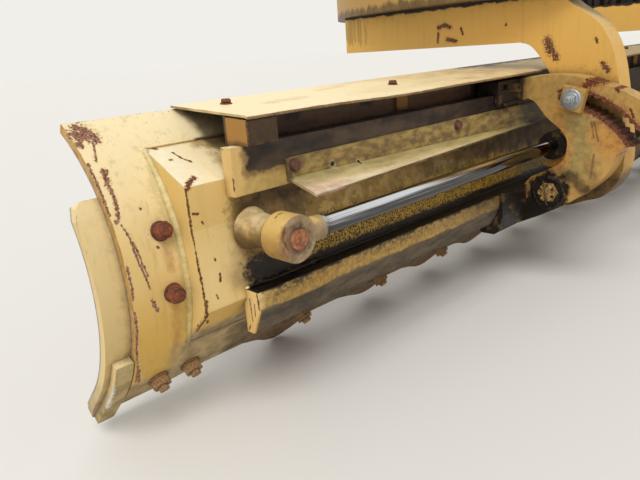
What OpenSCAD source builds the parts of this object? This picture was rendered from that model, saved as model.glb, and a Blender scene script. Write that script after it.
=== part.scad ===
// Circle, gooseneck arms and side shifting moldboard of a motor grader.
// Origin: middle of the circle's outer rim, on its turning axis. X runs along the blade, Y forward, Z up.
// All sizes are in millimetres.

/* [Moldboard] */
// Length of the moldboard sheet
blade_len = 3658; // [3200:1:4000]
// Thickness of the moldboard sheet
sheet_t = 16; // [12:0.5:22]
// Radius of the sheet's convex back
back_r = 302; // [280:1:340]
// Height of the arc's centre above the level of the end bits' lower edge
arc_z = 272; // [255:1:290]
// Angle of the arc above its centre
arc_top_deg = 58; // [52:0.5:62]
// Angle of the arc below its centre, where the flat lip starts
arc_low_deg = 45; // [40:0.5:48]
// Length of the flat lip below the arc
lip_len = 12; // [6:1:40]
// Height of the circle's mid plane above the level of the end bits' lower edge
blade_drop = 743; // [720:1:780]
// Distance from the turning axis back to the deepest point of the sheet
blade_back = 190; // [150:1:330]

/* [Back box] */
// Distance from the sheet's end to the box's end wall
box_inset = 103; // [80:1:140]
// How far the box's rear wall stands behind the sheet's deepest point, at its top
box_depth = 30; // [25:0.5:36]
// How much further back the rear wall's lower corner stands
box_lean = 12; // [0:0.5:16]
// Height of the box's top root on the sheet
box_top_root_z = 476; // [460:1:490]
// Height of the box's upper rear corner
box_top_z = 422; // [410:1:430]
// Height at which the rear wall starts to lean back
box_knee_z = 350; // [340:1:380]
// Height of the box's lower rear corner
box_low_z = 212; // [200:1:220]
// Height of the box's lower root on the sheet
box_low_root_z = 137; // [125:1:150]

/* [Slide rails] */
// Distance from the sheet's end to the rail's end
rail_inset = 178; // [150:1:220]
// Thickness of the upper rail
upper_rail_t = 25; // [20:0.5:28]
// Lower edge height of the upper rail
upper_rail_z0 = 393; // [385:1:400]
// Upper edge height of the upper rail
upper_rail_z1 = 473; // [468:1:476]
// Distance of the lower rail's rear face behind the sheet's deepest point
lower_rail_back = 75; // [68:0.5:78]
// Thickness of the lower rail at its lower edge
lower_rail_t = 18; // [16:0.5:22]
// Lower edge height of the lower rail
lower_rail_z0 = 146; // [140:1:152]
// Upper edge height of the lower rail
lower_rail_z1 = 228; // [222:1:232]
// Clearance between a slide shoe and its rail
slide_clear = 2; // [1:0.25:3]

/* [Top deck and deflector] */
// Thickness of the top deck plate
deck_t = 6; // [5:0.5:9]
// Distance from the sheet's end to the deck's end
deck_inset = 202; // [190:1:230]
// Height of the deck's rear edge, top face
deck_rear_z = 520; // [516:1:526]
// How far the deck's rear edge stands behind the sheet's deepest point
deck_rear_y = 78; // [72:1:84]
// Thickness of the upright web under the deck
web_t = 6; // [5:0.5:9]
// Thickness of the deflector sheet
deflector_t = 5; // [4:0.5:6]
// Distance from the sheet's end to the deflector's end
deflector_inset = 290; // [270:1:320]
// Length of the deflector
deflector_len = 1150; // [1000:1:1250]
// Length of the deflector's awning
awning_len = 940; // [800:1:980]
// Reach of the awning at the cylinder's eye end
awning_reach = 72; // [50:1:76]
// Pitch of the deflector's bolts
deflector_pitch = 504; // [400:1:540]

/* [Cutting edges and end bits] */
// Thickness of a cutting edge
edge_t = 19; // [16:0.5:22]
// How far the cutting edge reaches below the arc in its worn hollows
edge_drop = 60; // [30:1:70]
// How much further the edge's worn waves hang between the bolts
edge_wave = 82; // [0:1:100]
// Angle of the cutting edge's top above the arc's lower end
edge_top_deg = 11; // [8:0.5:14]
// Length of the end bit's foot along the lip
bit_foot_len = 298; // [260:1:330]
// How far an end bit stands out past the sheet's end
bit_out = 44; // [30:1:60]
// Width of the end bit's upright part on the sheet
bit_in = 112; // [100:1:130]
// How far an end bit's foot reaches below the arc
bit_drop = 107; // [90:1:120]
// Angle of the end bit's top above the arc's centre
bit_top_deg = 31; // [26:0.5:36]
// Distance from the sheet's end to the first nut on the cutting edge
edge_first = 407; // [390:0.5:430]
// Pitch of the cutting edge's bolts
edge_pitch = 258.5; // [240:0.5:280]
// Width across the flats of the edge nuts
edge_nut_af = 32; // [27:0.5:34]
// Width across the flats of the big bolts through the end bits
back_bolt_af = 36; // [30:0.5:40]

/* [Tilt brackets] */
// Distance from the circle's centre to a bracket's outer face
bracket_x = 729; // [700:1:760]
// Thickness of a tilt bracket
bracket_t = 60; // [50:1:64]
// How far the tilt pivot stands behind the sheet's deepest point
pivot_back = 149; // [144:0.5:152]
// Height of the tilt pivot above the level of the end bits' lower edge
pivot_z = 218; // [214:0.5:222]
// Radius of the pivot pin
pivot_r = 20; // [18:0.5:22]
// Mid radius of the kidney slot about the pivot
slot_r = 243; // [238:0.5:248]
// Width of the kidney slot
slot_w = 38; // [34:0.5:40]
// Depth of a serration on the slot's edges
serration = 6; // [3:0.5:7]
// Angle of the clamp bolt, seen from the pivot
clamp_deg = 103; // [101:0.5:105]
// Largest forward tilt of the blade from the stored pose
tilt_max_deg = 38; // [30:1:38]
// Length of a slide shoe beyond its bracket
shoe_len = 122; // [100:1:135]

/* [Circle and arms] */
// Outer radius of the circle
circle_r = 780; // [760:1:800]
// Height of the circle
circle_h = 80; // [70:1:90]
// Radial width of the circle above its teeth
circle_w = 78; // [70:1:90]
// Number of teeth inside the circle
tooth_count = 64; // [56:1:72]
// Height of a circle tooth
tooth_h = 26; // [20:1:32]
// Width of a gooseneck arm
arm_w = 70; // [60:1:85]
// Height of an arm's beam under the circle
beam_h = 111; // [100:1:125]
// Distance from the sheet's deepest point forward to an arm's front end
arm_reach = 602; // [560:1:640]
// Gap between an arm and its bracket
arm_gap = 5; // [5:0.5:8]
// Radius of the boss at an arm's lower end
arm_boss_r = 48; // [44:1:50]

/* [Side shift cylinder] */
// Radius of the rod
rod_r = 17; // [15:0.5:20]
// Outer radius of the barrel
barrel_r = 33; // [32:0.5:36]
// Bore radius of the barrel
bore_r = 26; // [25:0.5:27]
// Distance from the sheet's end to the eye's axis
eye_inset = 214; // [205:1:230]
// Radius of the rod's eye
eye_r = 39; // [34:1:42]
// Thickness of the rod's eye
eye_t = 45; // [36:1:50]
// Radius of the stud's pin in the eye
eye_pin_r = 17; // [15:0.5:19]
// How far the cylinder's axis stands behind the sheet's deepest point
cyl_back = 136; // [134:0.5:139]
// Height of the cylinder's axis above the level of the end bits' lower edge
cyl_z = 331; // [329:0.5:334]
// Travel of the blade to the left of the stored pose
shift_left = 300; // [200:1:350]
// Travel of the blade to the right of the stored pose
shift_right = 600; // [400:1:640]
// Bore radius of a hose port
port_r = 9; // [8:0.25:10]

/* [Node] */
// Which piece to draw

/* [Hidden] */
half = blade_len / 2;
ox_y = -blade_back;
ox_z = -blade_drop;
front_r = back_r - sheet_t;
lip_deg = 90 - arc_low_deg;
low_y = back_r - back_r * cos(arc_low_deg);
low_z = arc_z - back_r * sin(arc_low_deg);
top_y = back_r - back_r * cos(arc_top_deg);
top_z = arc_z + back_r * sin(arc_top_deg);
root_top_y = back_y(box_top_root_z);
root_low_y = back_y(box_low_root_z);
slot_from = clamp_deg - 5;
slot_to = clamp_deg + tilt_max_deg + 5;
beam_z = blade_drop - circle_h / 2 - beam_h;
arm_x0 = bracket_x - bracket_t - arm_gap - arm_w;
barrel_x = -bracket_x + 29;
collar_r = barrel_r + 3;
gland_len = 36;
piston_len = 50;
cap_t = 22;
stop_gap = 20;
barrel_len = gland_len + shift_left + piston_len + shift_right + cap_t + 2 * stop_gap;
piston_x = barrel_x + gland_len + stop_gap + shift_left;
weld_gap = 0.2;
deck_front_y = top_y + 3;
deck_slope = (top_z + deck_t + weld_gap - deck_rear_z) / (top_y + deck_rear_y);
deck_deg = atan(deck_slope);
shoe_top = deck_rear_z - deck_t - 9;
lower_front = -lower_rail_back + 23 + lower_rail_t;
paint = [0.80, 0.62, 0.24];
pale = [0.88, 0.76, 0.48];
dark = [0.13, 0.12, 0.12];
rust = [0.40, 0.18, 0.12];
steel = [0.62, 0.63, 0.64];
chrome = [0.80, 0.81, 0.83];

// Place of the sheet's convex back at a given height
function back_y(z) = back_r - sqrt(back_r * back_r - (z - arc_z) * (z - arc_z));

// Place of the box's rear wall at a given height
function wall_y(z) = -box_depth - box_lean * max(0, box_knee_z - z) / (box_knee_z - box_low_z);

// Height of the box's top facet at a given place
function facet_z(y) = box_top_z + (box_top_root_z - box_top_z) * (y + box_depth) / (root_top_y + box_depth);

// Height of the deck's lower face at a given place
function deck_under(y) = deck_rear_z - deck_t + deck_slope * (y + deck_rear_y);

// Smooth curve through a list of points, in four steps between neighbours
function eased(p) = concat(
  [for (i = [0 : len(p) - 2]) for (t = [0 : 0.25 : 0.75])
    let (a = p[max(i - 1, 0)], b = p[i], c = p[i + 1], d = p[min(i + 2, len(p) - 1)])
    0.5 * (2 * b + (c - a) * t + (2 * a - 5 * b + 4 * c - d) * t * t + (3 * b - a - 3 * c + d) * t * t * t)],
  [p[len(p) - 1]]);

// Extrudes a side view shape along X from x0 to x1, drawn as Y forward and Z up from the end bits' lower edge
module along_x(x0, x1)
{
  translate([x0, ox_y, ox_z])
  rotate([90, 0, 90])
  linear_extrude(height = x1 - x0)
  children();
}

module both_sides()
{
  children();
  mirror([1, 0, 0])
  children();
}

module along_pivot(x0, x1)
{
  along_x(x0, x1)
  translate([-pivot_back, pivot_z])
  children();
}

module along_clamp(x0, x1)
{
  along_pivot(x0, x1)
  rotate(clamp_deg)
  translate([slot_r, 0])
  children();
}

module along_cyl(x0, x1)
{
  along_x(x0, x1)
  translate([-cyl_back, cyl_z])
  children();
}

// Circle with its teeth inside
module circle_ring()
{
  tooth_in = circle_r - circle_w - tooth_h;
  tooth_out = circle_r - circle_w;
  step = 360 / tooth_count;
  color(dark)
  union()
  {
    translate([0, 0, -circle_h / 2])
    linear_extrude(height = circle_h)
    difference()
    {
      circle(r = circle_r, $fn = 180);
      circle(r = tooth_out, $fn = 180);
    }
    translate([0, 0, -circle_h / 2])
    linear_extrude(height = circle_h * 0.7)
    difference()
    {
      circle(r = tooth_out + 10, $fn = 180);
      polygon([for (i = [0 : tooth_count - 1])
        for (p = [[-0.38, tooth_out + 4], [-0.17, tooth_in], [0.17, tooth_in], [0.38, tooth_out + 4]])
          [p[1] * cos((i + p[0]) * step), p[1] * sin((i + p[0]) * step)]]);
    }
  }
}

// Gooseneck arms: outline of the neck from the beam's lower edge round the throat, seen from the pivot
neck_size = 374;
neck_back = [[22, 1.277], [-12, 1.206], [-67, 1.1], [-100, 0.976], [-118, 0.84], [-129, 0.7], [-138, 0.56],
  [-147, 0.42], [-153, 0.3], [-153, 0.175],
  [-140, 0.06], [-109, -0.04], [-66, -0.085], [-26, -0.128], [0, -0.134], [39, -0.123], [57, -0.075],
  [61, -0.008], [45, 0.075], [9, 0.118], [-36, 0.179], [-56, 0.273], [-56, 0.353], [-40, 0.447], [-1, 0.553],
  [33, 0.652], [46, 0.790], [93, 0.957], [128, 0.995]];

module gooseneck_arms()
{
  k = (beam_z - pivot_z) / neck_size;
  color(paint)
  both_sides()
  difference()
  {
    union()
    {
      along_x(-arm_x0 - arm_w, -arm_x0)
      polygon(concat(
        [[arm_reach, beam_z], [arm_reach, beam_z + beam_h], [-pivot_back + 60 * k, beam_z + beam_h]],
        [for (p = eased(neck_back)) [-pivot_back + p[0] * k, pivot_z + p[1] * neck_size * k]]));
      along_pivot(-arm_x0 - arm_w, -arm_x0)
      circle(r = arm_boss_r, $fn = 64);
    }
    along_pivot(-arm_x0 - arm_w - 1, -arm_x0 + 1)
    circle(r = pivot_r, $fn = 48);
    along_clamp(-arm_x0 - arm_w - 1, -arm_x0 + 1)
    circle(r = 12, $fn = 32);
  }
}

// Tilt pivots with their castle nuts
module pivot_pins()
{
  nut_r = pivot_r * 1.35;
  color(steel)
  both_sides()
  union()
  {
    along_pivot(-bracket_x - 34, -arm_x0 + 14)
    circle(r = pivot_r, $fn = 48);
    along_pivot(-bracket_x - 24, -bracket_x - 11)
    circle(r = nut_r, $fn = 6);
    along_pivot(-bracket_x - 31, -bracket_x - 24)
    difference()
    {
      circle(r = nut_r * 0.84, $fn = 48);
      for (a = [0 : 60 : 120])
        rotate(a)
        square([nut_r * 2, 6], center = true);
    }
  }
}

// Clamp bolt with its square serrated block
module clamp_bolts()
{
  color(steel)
  both_sides()
  union()
  {
    along_clamp(-bracket_x - 56, -arm_x0 + 10)
    circle(r = 12, $fn = 32);
    along_clamp(-bracket_x - 26, -bracket_x - arm_gap)
    square([60, 56], center = true);
    along_clamp(-bracket_x - 30, -bracket_x - 26)
    circle(r = 22, $fn = 48);
    along_clamp(-bracket_x - 50, -bracket_x - 30)
    circle(r = 20, $fn = 6);
  }
}

// Tilt brackets: rear edge of the plate from top to bottom, seen from the pivot in parts of the slot's radius
plate_back = [[0.263, 1.193], [0, 1.206], [-0.255, 1.177], [-0.449, 1.117], [-0.638, 1.05], [-0.823, 0.959],
  [-0.971, 0.852], [-1.041, 0.728], [-1.012, 0.593], [-0.909, 0.527], [-0.778, 0.523], [-0.687, 0.486],
  [-0.642, 0.403], [-0.597, 0.276], [-0.506, 0.144], [-0.358, 0.004], [-0.148, -0.14], [0.099, -0.28],
  [0.267, -0.362]];
// Throat round the cylinder from bottom to top, seen from the cylinder's axis
throat = [[40, -79], [-3, -58], [-41, -32], [-51, -1], [-48, 27], [-28, 51], [5, 77], [35, 112], [57, 123]];

module bracket_outline()
{
  c = slide_clear;
  ur = -box_depth - upper_rail_t;
  lr = -lower_rail_back;
  difference()
  {
    polygon(concat(
      [[ur - 11, shoe_top]],
      [for (p = eased(plate_back)) [-pivot_back + p[0] * slot_r, pivot_z + p[1] * slot_r]],
      [[lr + 15, lower_rail_z0 - 28], [lr + 53, lower_rail_z0 - 28], [lr + 63, lower_rail_z0 - 6],
        [lr + 63, lower_rail_z0 + 12], [lr + 47, lower_rail_z0 + 19], [lower_front + c, lower_rail_z0 + 14],
        [lower_front + c, lower_rail_z0 - c], [lr + 23 - c, lower_rail_z0 - c],
        [lr + 2 - c, lower_rail_z0 + 44], [lr - c, lower_rail_z1 - 10], [lr - c, lower_rail_z1 + c]],
      [for (p = eased(throat)) [-cyl_back + p[0], cyl_z + p[1]]],
      [[ur - c, upper_rail_z1 - 27], [ur - c, upper_rail_z1 + c], [-box_depth + c, upper_rail_z1 + c],
        [-box_depth + c, upper_rail_z1 - 25], [-box_depth + 20, upper_rail_z1 - 25],
        [-box_depth + 20, shoe_top]]));
    translate([-pivot_back, pivot_z])
    circle(r = pivot_r + 0.1, $fn = 48);
    kidney_slot();
  }
}

// Kidney slot with serrated long edges
module kidney_slot()
{
  count = 11;
  tooth_step = (slot_to - slot_from) / count;
  r_out = slot_r + slot_w / 2;
  r_in = slot_r - slot_w / 2;
  translate([-pivot_back, pivot_z])
  {
    polygon(concat(
      [for (i = [0 : count - 1]) for (k = [0, 1])
        let (a = slot_from + (i + k * 0.5) * tooth_step, r = r_out - (k == 0 ? 0 : serration))
        [r * cos(a), r * sin(a)]],
      [for (i = [count - 1 : -1 : 0]) for (k = [1, 0])
        let (a = slot_from + (i + k * 0.5) * tooth_step, r = r_in + (k == 0 ? 0 : serration))
        [r * cos(a), r * sin(a)]]));
    for (a = [slot_from, slot_to - tooth_step / 2])
      rotate(a)
      translate([slot_r, 0])
      circle(r = slot_w / 2 - serration, $fn = 48);
  }
}

// Saddle that carries the cylinder in the bracket's throat
module saddle_outline()
{
  translate([-cyl_back, cyl_z])
  difference()
  {
    intersection()
    {
      circle(r = collar_r + 22, $fn = 96);
      polygon([[0, 0], [-42, 90], [-90, 40], [-90, -90], [45, -90]]);
    }
    circle(r = collar_r, $fn = 64);
  }
}

module tilt_brackets()
{
  color(paint)
  both_sides()
  union()
  {
    along_x(-bracket_x, -bracket_x + bracket_t)
    bracket_outline();
    along_pivot(-bracket_x - 10, -bracket_x + 1)
    difference()
    {
      circle(r = pivot_r + 24, $fn = 64);
      circle(r = pivot_r + 0.1, $fn = 48);
    }
    along_x(-bracket_x + bracket_t - 22, -bracket_x + bracket_t)
    saddle_outline();
  }
}

// Shoes that hook over the rails
module upper_shoes()
{
  c = slide_clear;
  ur = -box_depth - upper_rail_t;
  color(dark)
  both_sides()
  union()
  {
    difference()
    {
      along_x(-bracket_x - shoe_len, -bracket_x)
      polygon([[ur - 11, upper_rail_z1 - 27], [ur - 11, shoe_top], [-box_depth + 20, shoe_top],
        [-box_depth + 20, upper_rail_z1 - 25], [-box_depth + c, upper_rail_z1 - 25],
        [-box_depth + c, upper_rail_z1 + c], [ur - c, upper_rail_z1 + c], [ur - c, upper_rail_z1 - 27]]);
      along_x(-bracket_x - shoe_len + 14, -bracket_x - shoe_len + 46)
      translate([ur - 12, upper_rail_z1 + 9])
      square([14, 14]);
    }
    along_x(-bracket_x - 30, -bracket_x - 18)
    translate([ur - 21, upper_rail_z1 - 18])
    square([11, 50]);
  }
}

module lower_shoes()
{
  c = slide_clear;
  lr = -lower_rail_back;
  color(dark)
  both_sides()
  along_x(-bracket_x - shoe_len, -bracket_x)
  polygon([[lr - 9, lower_rail_z1 + c], [lr - 9, lower_rail_z0 + 24], [lr + 3, lower_rail_z0 - 20],
    [lr + 15, lower_rail_z0 - 28], [lr + 53, lower_rail_z0 - 28], [lr + 63, lower_rail_z0 - 6],
    [lr + 63, lower_rail_z0 + 12], [lr + 47, lower_rail_z0 + 19], [lower_front + c, lower_rail_z0 + 14],
    [lower_front + c, lower_rail_z0 - c], [lr + 23 - c, lower_rail_z0 - c],
    [lr + 2 - c, lower_rail_z0 + 44], [lr - c, lower_rail_z1 - 10], [lr - c, lower_rail_z1 + c]]);
}

// Side shift cylinder
port_len = 18;
port_xs = [barrel_x + 150, barrel_x + barrel_len - cap_t - 20];

module shift_barrel()
{
  color(paint)
  difference()
  {
    union()
    {
      along_cyl(barrel_x + gland_len, barrel_x + barrel_len)
      circle(r = barrel_r, $fn = 64);
      along_cyl(barrel_x + gland_len + 28, barrel_x + gland_len + 52)
      circle(r = collar_r, $fn = 64);
      for (x = port_xs)
        port_at(x, barrel_r + port_len, port_r + 7);
    }
    along_cyl(barrel_x, barrel_x + barrel_len - cap_t)
    circle(r = bore_r, $fn = 64);
    for (x = port_xs)
      port_at(x, barrel_r + port_len + 1, port_r);
  }
}

// A hose port pointing straight back from the barrel
module port_at(x, len, r)
{
  translate([x, ox_y - cyl_back, ox_z + cyl_z])
  rotate([90, 0, 0])
  cylinder(r = r, h = len, $fn = 32);
}

module shift_gland()
{
  color(dark)
  along_cyl(barrel_x, barrel_x + gland_len)
  difference()
  {
    circle(r = collar_r, $fn = 64);
    circle(r = rod_r + 0.1, $fn = 48);
  }
}

// Bar that carries the closed end of the barrel to the far bracket, with its nut
module barrel_tail()
{
  color(paint)
  union()
  {
    along_cyl(barrel_x + barrel_len, bracket_x + 10)
    circle(r = 22, $fn = 48);
    along_cyl(bracket_x - bracket_t, bracket_x - bracket_t + 22)
    circle(r = collar_r, $fn = 64);
    along_cyl(bracket_x - 26, bracket_x + 2)
    circle(r = 36, $fn = 6);
  }
}

// Moldboard: arc and flat lip. The lip reaches a little into the arc, so both stay one sheet.
module plate_outline(r_out, t, top_deg, lip)
{
  sweep = top_deg + arc_low_deg;
  translate([back_r, arc_z])
  union()
  {
    intersection()
    {
      difference()
      {
        circle(r = r_out, $fn = 240);
        circle(r = r_out - t, $fn = 240);
      }
      polygon(concat([[0, 0]],
        [for (i = [0 : 4]) let (a = i * sweep / 4 - arc_low_deg) [-2 * back_r * cos(a), 2 * back_r * sin(a)]]));
    }
    rotate(-lip_deg)
    polygon([[0, -r_out], [lip, -r_out], [lip, -r_out + t], [0, -r_out + t], [-t / 3, -r_out + t / 2]]);
  }
}

module moldboard_sheet()
{
  color(pale)
  along_x(-half, half)
  plate_outline(back_r, sheet_t, arc_top_deg, lip_len);
}

module box_outline()
{
  difference()
  {
    polygon([[root_top_y, box_top_root_z], [-box_depth, box_top_z], [-box_depth, box_knee_z],
      [-box_depth - box_lean, box_low_z], [root_low_y, box_low_root_z], [root_low_y + 60, arc_z]]);
    translate([back_r, arc_z])
    circle(r = back_r, $fn = 240);
  }
}

module back_box()
{
  color(pale)
  along_x(-half + box_inset, half - box_inset)
  box_outline();
}

module upper_rail()
{
  color(paint)
  along_x(-half + rail_inset, half - rail_inset)
  translate([-box_depth - upper_rail_t, upper_rail_z0])
  square([upper_rail_t, upper_rail_z1 - upper_rail_z0]);
}

module lower_rail()
{
  lr = -lower_rail_back;
  color(paint)
  along_x(-half + rail_inset + 8, half - rail_inset - 8)
  difference()
  {
    polygon([[wall_y(lower_rail_z1), lower_rail_z1], [lr, lower_rail_z1], [lr, lower_rail_z1 - 10],
      [lr + 2, lower_rail_z0 + 44], [lr + 23, lower_rail_z0], [lower_front, lower_rail_z0],
      [lower_front, box_low_z], [wall_y(box_low_z), box_low_z]]);
    box_outline();
  }
}

// Top deck on its upright web
module deck_plate()
{
  color(pale)
  union()
  {
    along_x(-half + deck_inset, half - deck_inset)
    polygon([[-deck_rear_y, deck_rear_z - deck_t], [deck_front_y, deck_under(deck_front_y)],
      [deck_front_y, deck_under(deck_front_y) + deck_t], [-deck_rear_y, deck_rear_z]]);
    along_x(-half + deck_inset + 13, half - deck_inset - 13)
    polygon([[0, facet_z(0) + weld_gap], [0, deck_under(0) + 1], [web_t, deck_under(web_t) + 1],
      [web_t, facet_z(web_t) + weld_gap]]);
  }
}

// Lugs under the deck: distance from the sheet's end, width, rear face, front face
lug_table = [[200, 62, -76, -20], [660, 38, -6, 0], [1120, 38, -6, 0], [1580, 38, -6, 0]];
lug_from = 0;
lug_width = 1;
lug_back = 2;
lug_front = 3;

module deck_lugs()
{
  color(paint)
  both_sides()
  for (lug = lug_table)
    along_x(-half + lug[lug_from], -half + lug[lug_from] + lug[lug_width])
    polygon([[lug[lug_back], upper_rail_z1 + weld_gap], [lug[lug_back], deck_under(lug[lug_back]) - weld_gap],
      [lug[lug_front], deck_under(lug[lug_front]) - weld_gap], [lug[lug_front], upper_rail_z1 + weld_gap]]);
}

// Deck bolts: distance from the sheet's end, distance forward of the sheet's deepest point
deck_bolt_table = [[274, 75], [690, 28], [1522, 60]];

module deck_bolts()
{
  color(rust)
  both_sides()
  for (b = deck_bolt_table)
    translate([-half + b[0], ox_y + b[1], ox_z + deck_under(b[1]) + deck_t / cos(deck_deg)])
    rotate([deck_deg, 0, 0])
    union()
    {
      translate([0, 0, 0.1])
      cylinder(r = 14, h = 3, $fn = 32);
      translate([0, 0, 2])
      cylinder(r = 11, h = 10, $fn = 6);
    }
}

// Deflector over the side shift cylinder: a flange on the rail and an awning that runs out to nothing
awning_z0 = upper_rail_z0 + 6;
awning_z1 = upper_rail_z0 - 13;
flange_top = upper_rail_z0 + 45;

module deflector()
{
  color(pale)
  translate([-half + deflector_inset, ox_y - box_depth - upper_rail_t, ox_z])
  union()
  {
    rotate([90, 0, 0])
    linear_extrude(height = deflector_t)
    polygon([[0, awning_z0], [0, flange_top], [deflector_len, flange_top],
      [deflector_len, awning_z1], [awning_len, awning_z1]]);
    translate([0, -deflector_t, awning_z0])
    rotate([0, atan((awning_z0 - awning_z1) / awning_len), 0])
    rotate([atan((awning_z0 + deflector_t - upper_rail_z0 + 11) / awning_reach), 0, 0])
    linear_extrude(height = deflector_t)
    polygon([[0, deflector_t - 1], [0, -awning_reach], [awning_len, -1], [awning_len, deflector_t - 1]]);
  }
}

module deflector_bolts()
{
  color(rust)
  for (i = [0 : 2])
    translate([-half + deflector_inset + 14 + i * deflector_pitch,
      ox_y - box_depth - upper_rail_t - deflector_t - 0.1, ox_z + upper_rail_z0 + 32])
    rotate([90, 0, 0])
    union()
    {
      cylinder(r = 12, h = 2, $fn = 32);
      cylinder(r = 10, h = 9, $fn = 6);
    }
}

// Stud on the box that carries the rod's eye
module rod_stud()
{
  x = -half + eye_inset;
  color(rust)
  difference()
  {
    translate([x, ox_y, ox_z + cyl_z])
    rotate([90, 0, 0])
    union()
    {
      cylinder(r = 26, h = cyl_back - eye_t / 2 - 1, $fn = 48);
      cylinder(r = eye_pin_r, h = cyl_back + eye_t / 2 + 4, $fn = 48);
    }
    along_x(x - 40, x + 40)
    union()
    {
      box_outline();
      translate([-box_depth + 5, arc_z])
      square([60, 120]);
    }
  }
}

module shift_rod()
{
  x = -half + eye_inset;
  color(chrome)
  union()
  {
    difference()
    {
      union()
      {
        translate([x, ox_y - cyl_back + eye_t / 2, ox_z + cyl_z])
        rotate([90, 0, 0])
        cylinder(r = eye_r, h = eye_t, $fn = 64);
        along_cyl(x + 22, x + eye_r + 34)
        circle(r = rod_r + 4, $fn = 48);
      }
      translate([x, ox_y, ox_z + cyl_z])
      rotate([90, 0, 0])
      cylinder(r = eye_pin_r + 0.1, h = 200, $fn = 48);
    }
    along_cyl(x + eye_r + 20, piston_x + 1)
    circle(r = rod_r, $fn = 48);
    along_cyl(piston_x, piston_x + piston_len)
    circle(r = bore_r - 0.1, $fn = 64);
  }
}

// Cutting edges, end bits and their bolts. Shapes on the lip are drawn along X and down the lip.
module on_lip(depth, t)
{
  translate([0, ox_y + low_y, ox_z + low_z])
  rotate([-lip_deg, 0, 0])
  translate([0, 0, depth])
  linear_extrude(height = t)
  children();
}

// One worn wave of the edge beside a bolt: place in parts of the bolt pitch, depth in parts of the wave
wave_table = [[-0.46, 0.05], [-0.1, 0.4], [0.2, 0.88], [0.37, 0.92], [0.46, 0.45]];
first_wave = [[-0.2, 0.6], [-0.05, 1], [0.12, 1.24], [0.27, 0.9], [0.38, 0.3]];
wave_at = 0;
wave_depth = 1;
edge_bolts = floor((half - edge_first) / edge_pitch);

module cutting_edges()
{
  x0 = -half + bit_foot_len + 2;
  color(rust)
  both_sides()
  union()
  {
    along_x(x0, -1)
    plate_outline(front_r, edge_t, -arc_low_deg + edge_top_deg, edge_drop / 2);
    on_lip(sheet_t, edge_t)
    polygon(concat([[-1, 0], [x0, 0]],
      eased(concat([[x0, edge_drop * 1.35]],
        [for (p = first_wave) [-half + edge_first + p[wave_at] * edge_pitch, edge_drop + p[wave_depth] * edge_wave]],
        [for (i = [1 : edge_bolts]) for (p = wave_table)
          if (edge_first + (i + p[wave_at]) * edge_pitch < half - 12)
            [-half + edge_first + (i + p[wave_at]) * edge_pitch, edge_drop + p[wave_depth] * edge_wave]],
        [[-1, edge_drop]]))));
  }
}

module end_bits()
{
  top = arc_z + front_r * sin(bit_top_deg);
  color(pale)
  both_sides()
  difference()
  {
    union()
    {
      along_x(-half - bit_out, -half + bit_in)
      plate_outline(front_r, edge_t, bit_top_deg, bit_drop - 44);
      along_x(-half - bit_out * 0.75, -half - 2)
      plate_outline(back_r, sheet_t, -arc_low_deg + 20, bit_drop - 4);
      on_lip(sheet_t, edge_t)
      polygon([[-half - bit_out, 0], [-half - bit_out, bit_drop * 0.6], [-half - bit_out + 9, bit_drop],
        [-half + bit_foot_len * 0.35, bit_drop * 0.96], [-half + bit_foot_len * 0.68, bit_drop * 0.76],
        [-half + bit_foot_len, bit_drop * 0.77], [-half + bit_foot_len, 0]]);
    }
    translate([-half - bit_out, ox_y + back_r, ox_z + top])
    rotate([90, 0, 0])
    linear_extrude(height = 2 * back_r)
    polygon([[-1, -28], [0, -28], [6, -10], [20, 2], [-1, 2]]);
  }
}

module arc_bolt(x, deg)
{
  translate([-half + x, ox_y + back_r, ox_z + arc_z])
  rotate([-deg, 0, 0])
  translate([0, -back_r - weld_gap, 0])
  rotate([90, 0, 0])
  children();
}

module edge_nuts()
{
  nut_deg = -arc_low_deg + 3.5;
  color(rust)
  both_sides()
  for (x = concat([57, 124], [for (i = [0 : edge_bolts]) edge_first + i * edge_pitch]))
    arc_bolt(x, nut_deg)
    union()
    {
      cylinder(r = edge_nut_af / 2 + 4, h = 3, $fn = 48);
      cylinder(r = edge_nut_af / sqrt(3), h = 18, $fn = 6);
      cylinder(r = 9.5, h = 26, $fn = 32);
    }
}

// Big bolts through the end bit: distance from the sheet's end, height
back_bolt_table = [[72, 354], [72, 251]];

module back_bolts()
{
  color(rust)
  both_sides()
  for (b = back_bolt_table)
    arc_bolt(b[0], asin((b[1] - arc_z) / back_r))
    union()
    {
      cylinder(r = back_bolt_af / 2 + 4, h = 4, $fn = 48);
      cylinder(r = back_bolt_af / sqrt(3), h = 19, $fn = 6);
      cylinder(r = 10, h = 25, $fn = 32);
    }
}

circle_ring();
gooseneck_arms();
pivot_pins();
clamp_bolts();
tilt_brackets();
upper_shoes();
lower_shoes();
shift_barrel();
shift_gland();
barrel_tail();
moldboard_sheet();
back_box();
upper_rail();
lower_rail();
deck_plate();
deck_lugs();
deck_bolts();
deflector();
deflector_bolts();
rod_stud();
shift_rod();
cutting_edges();
end_bits();
edge_nuts();
back_bolts();
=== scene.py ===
"""Looks of a motor grader's circle, gooseneck arms and side shifting moldboard."""
import math
from functools import partial
from typing import NamedTuple

import bpy
import numpy as np
from bpy.props import FloatProperty, FloatVectorProperty, PointerProperty
from mathutils import Matrix, Vector


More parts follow.
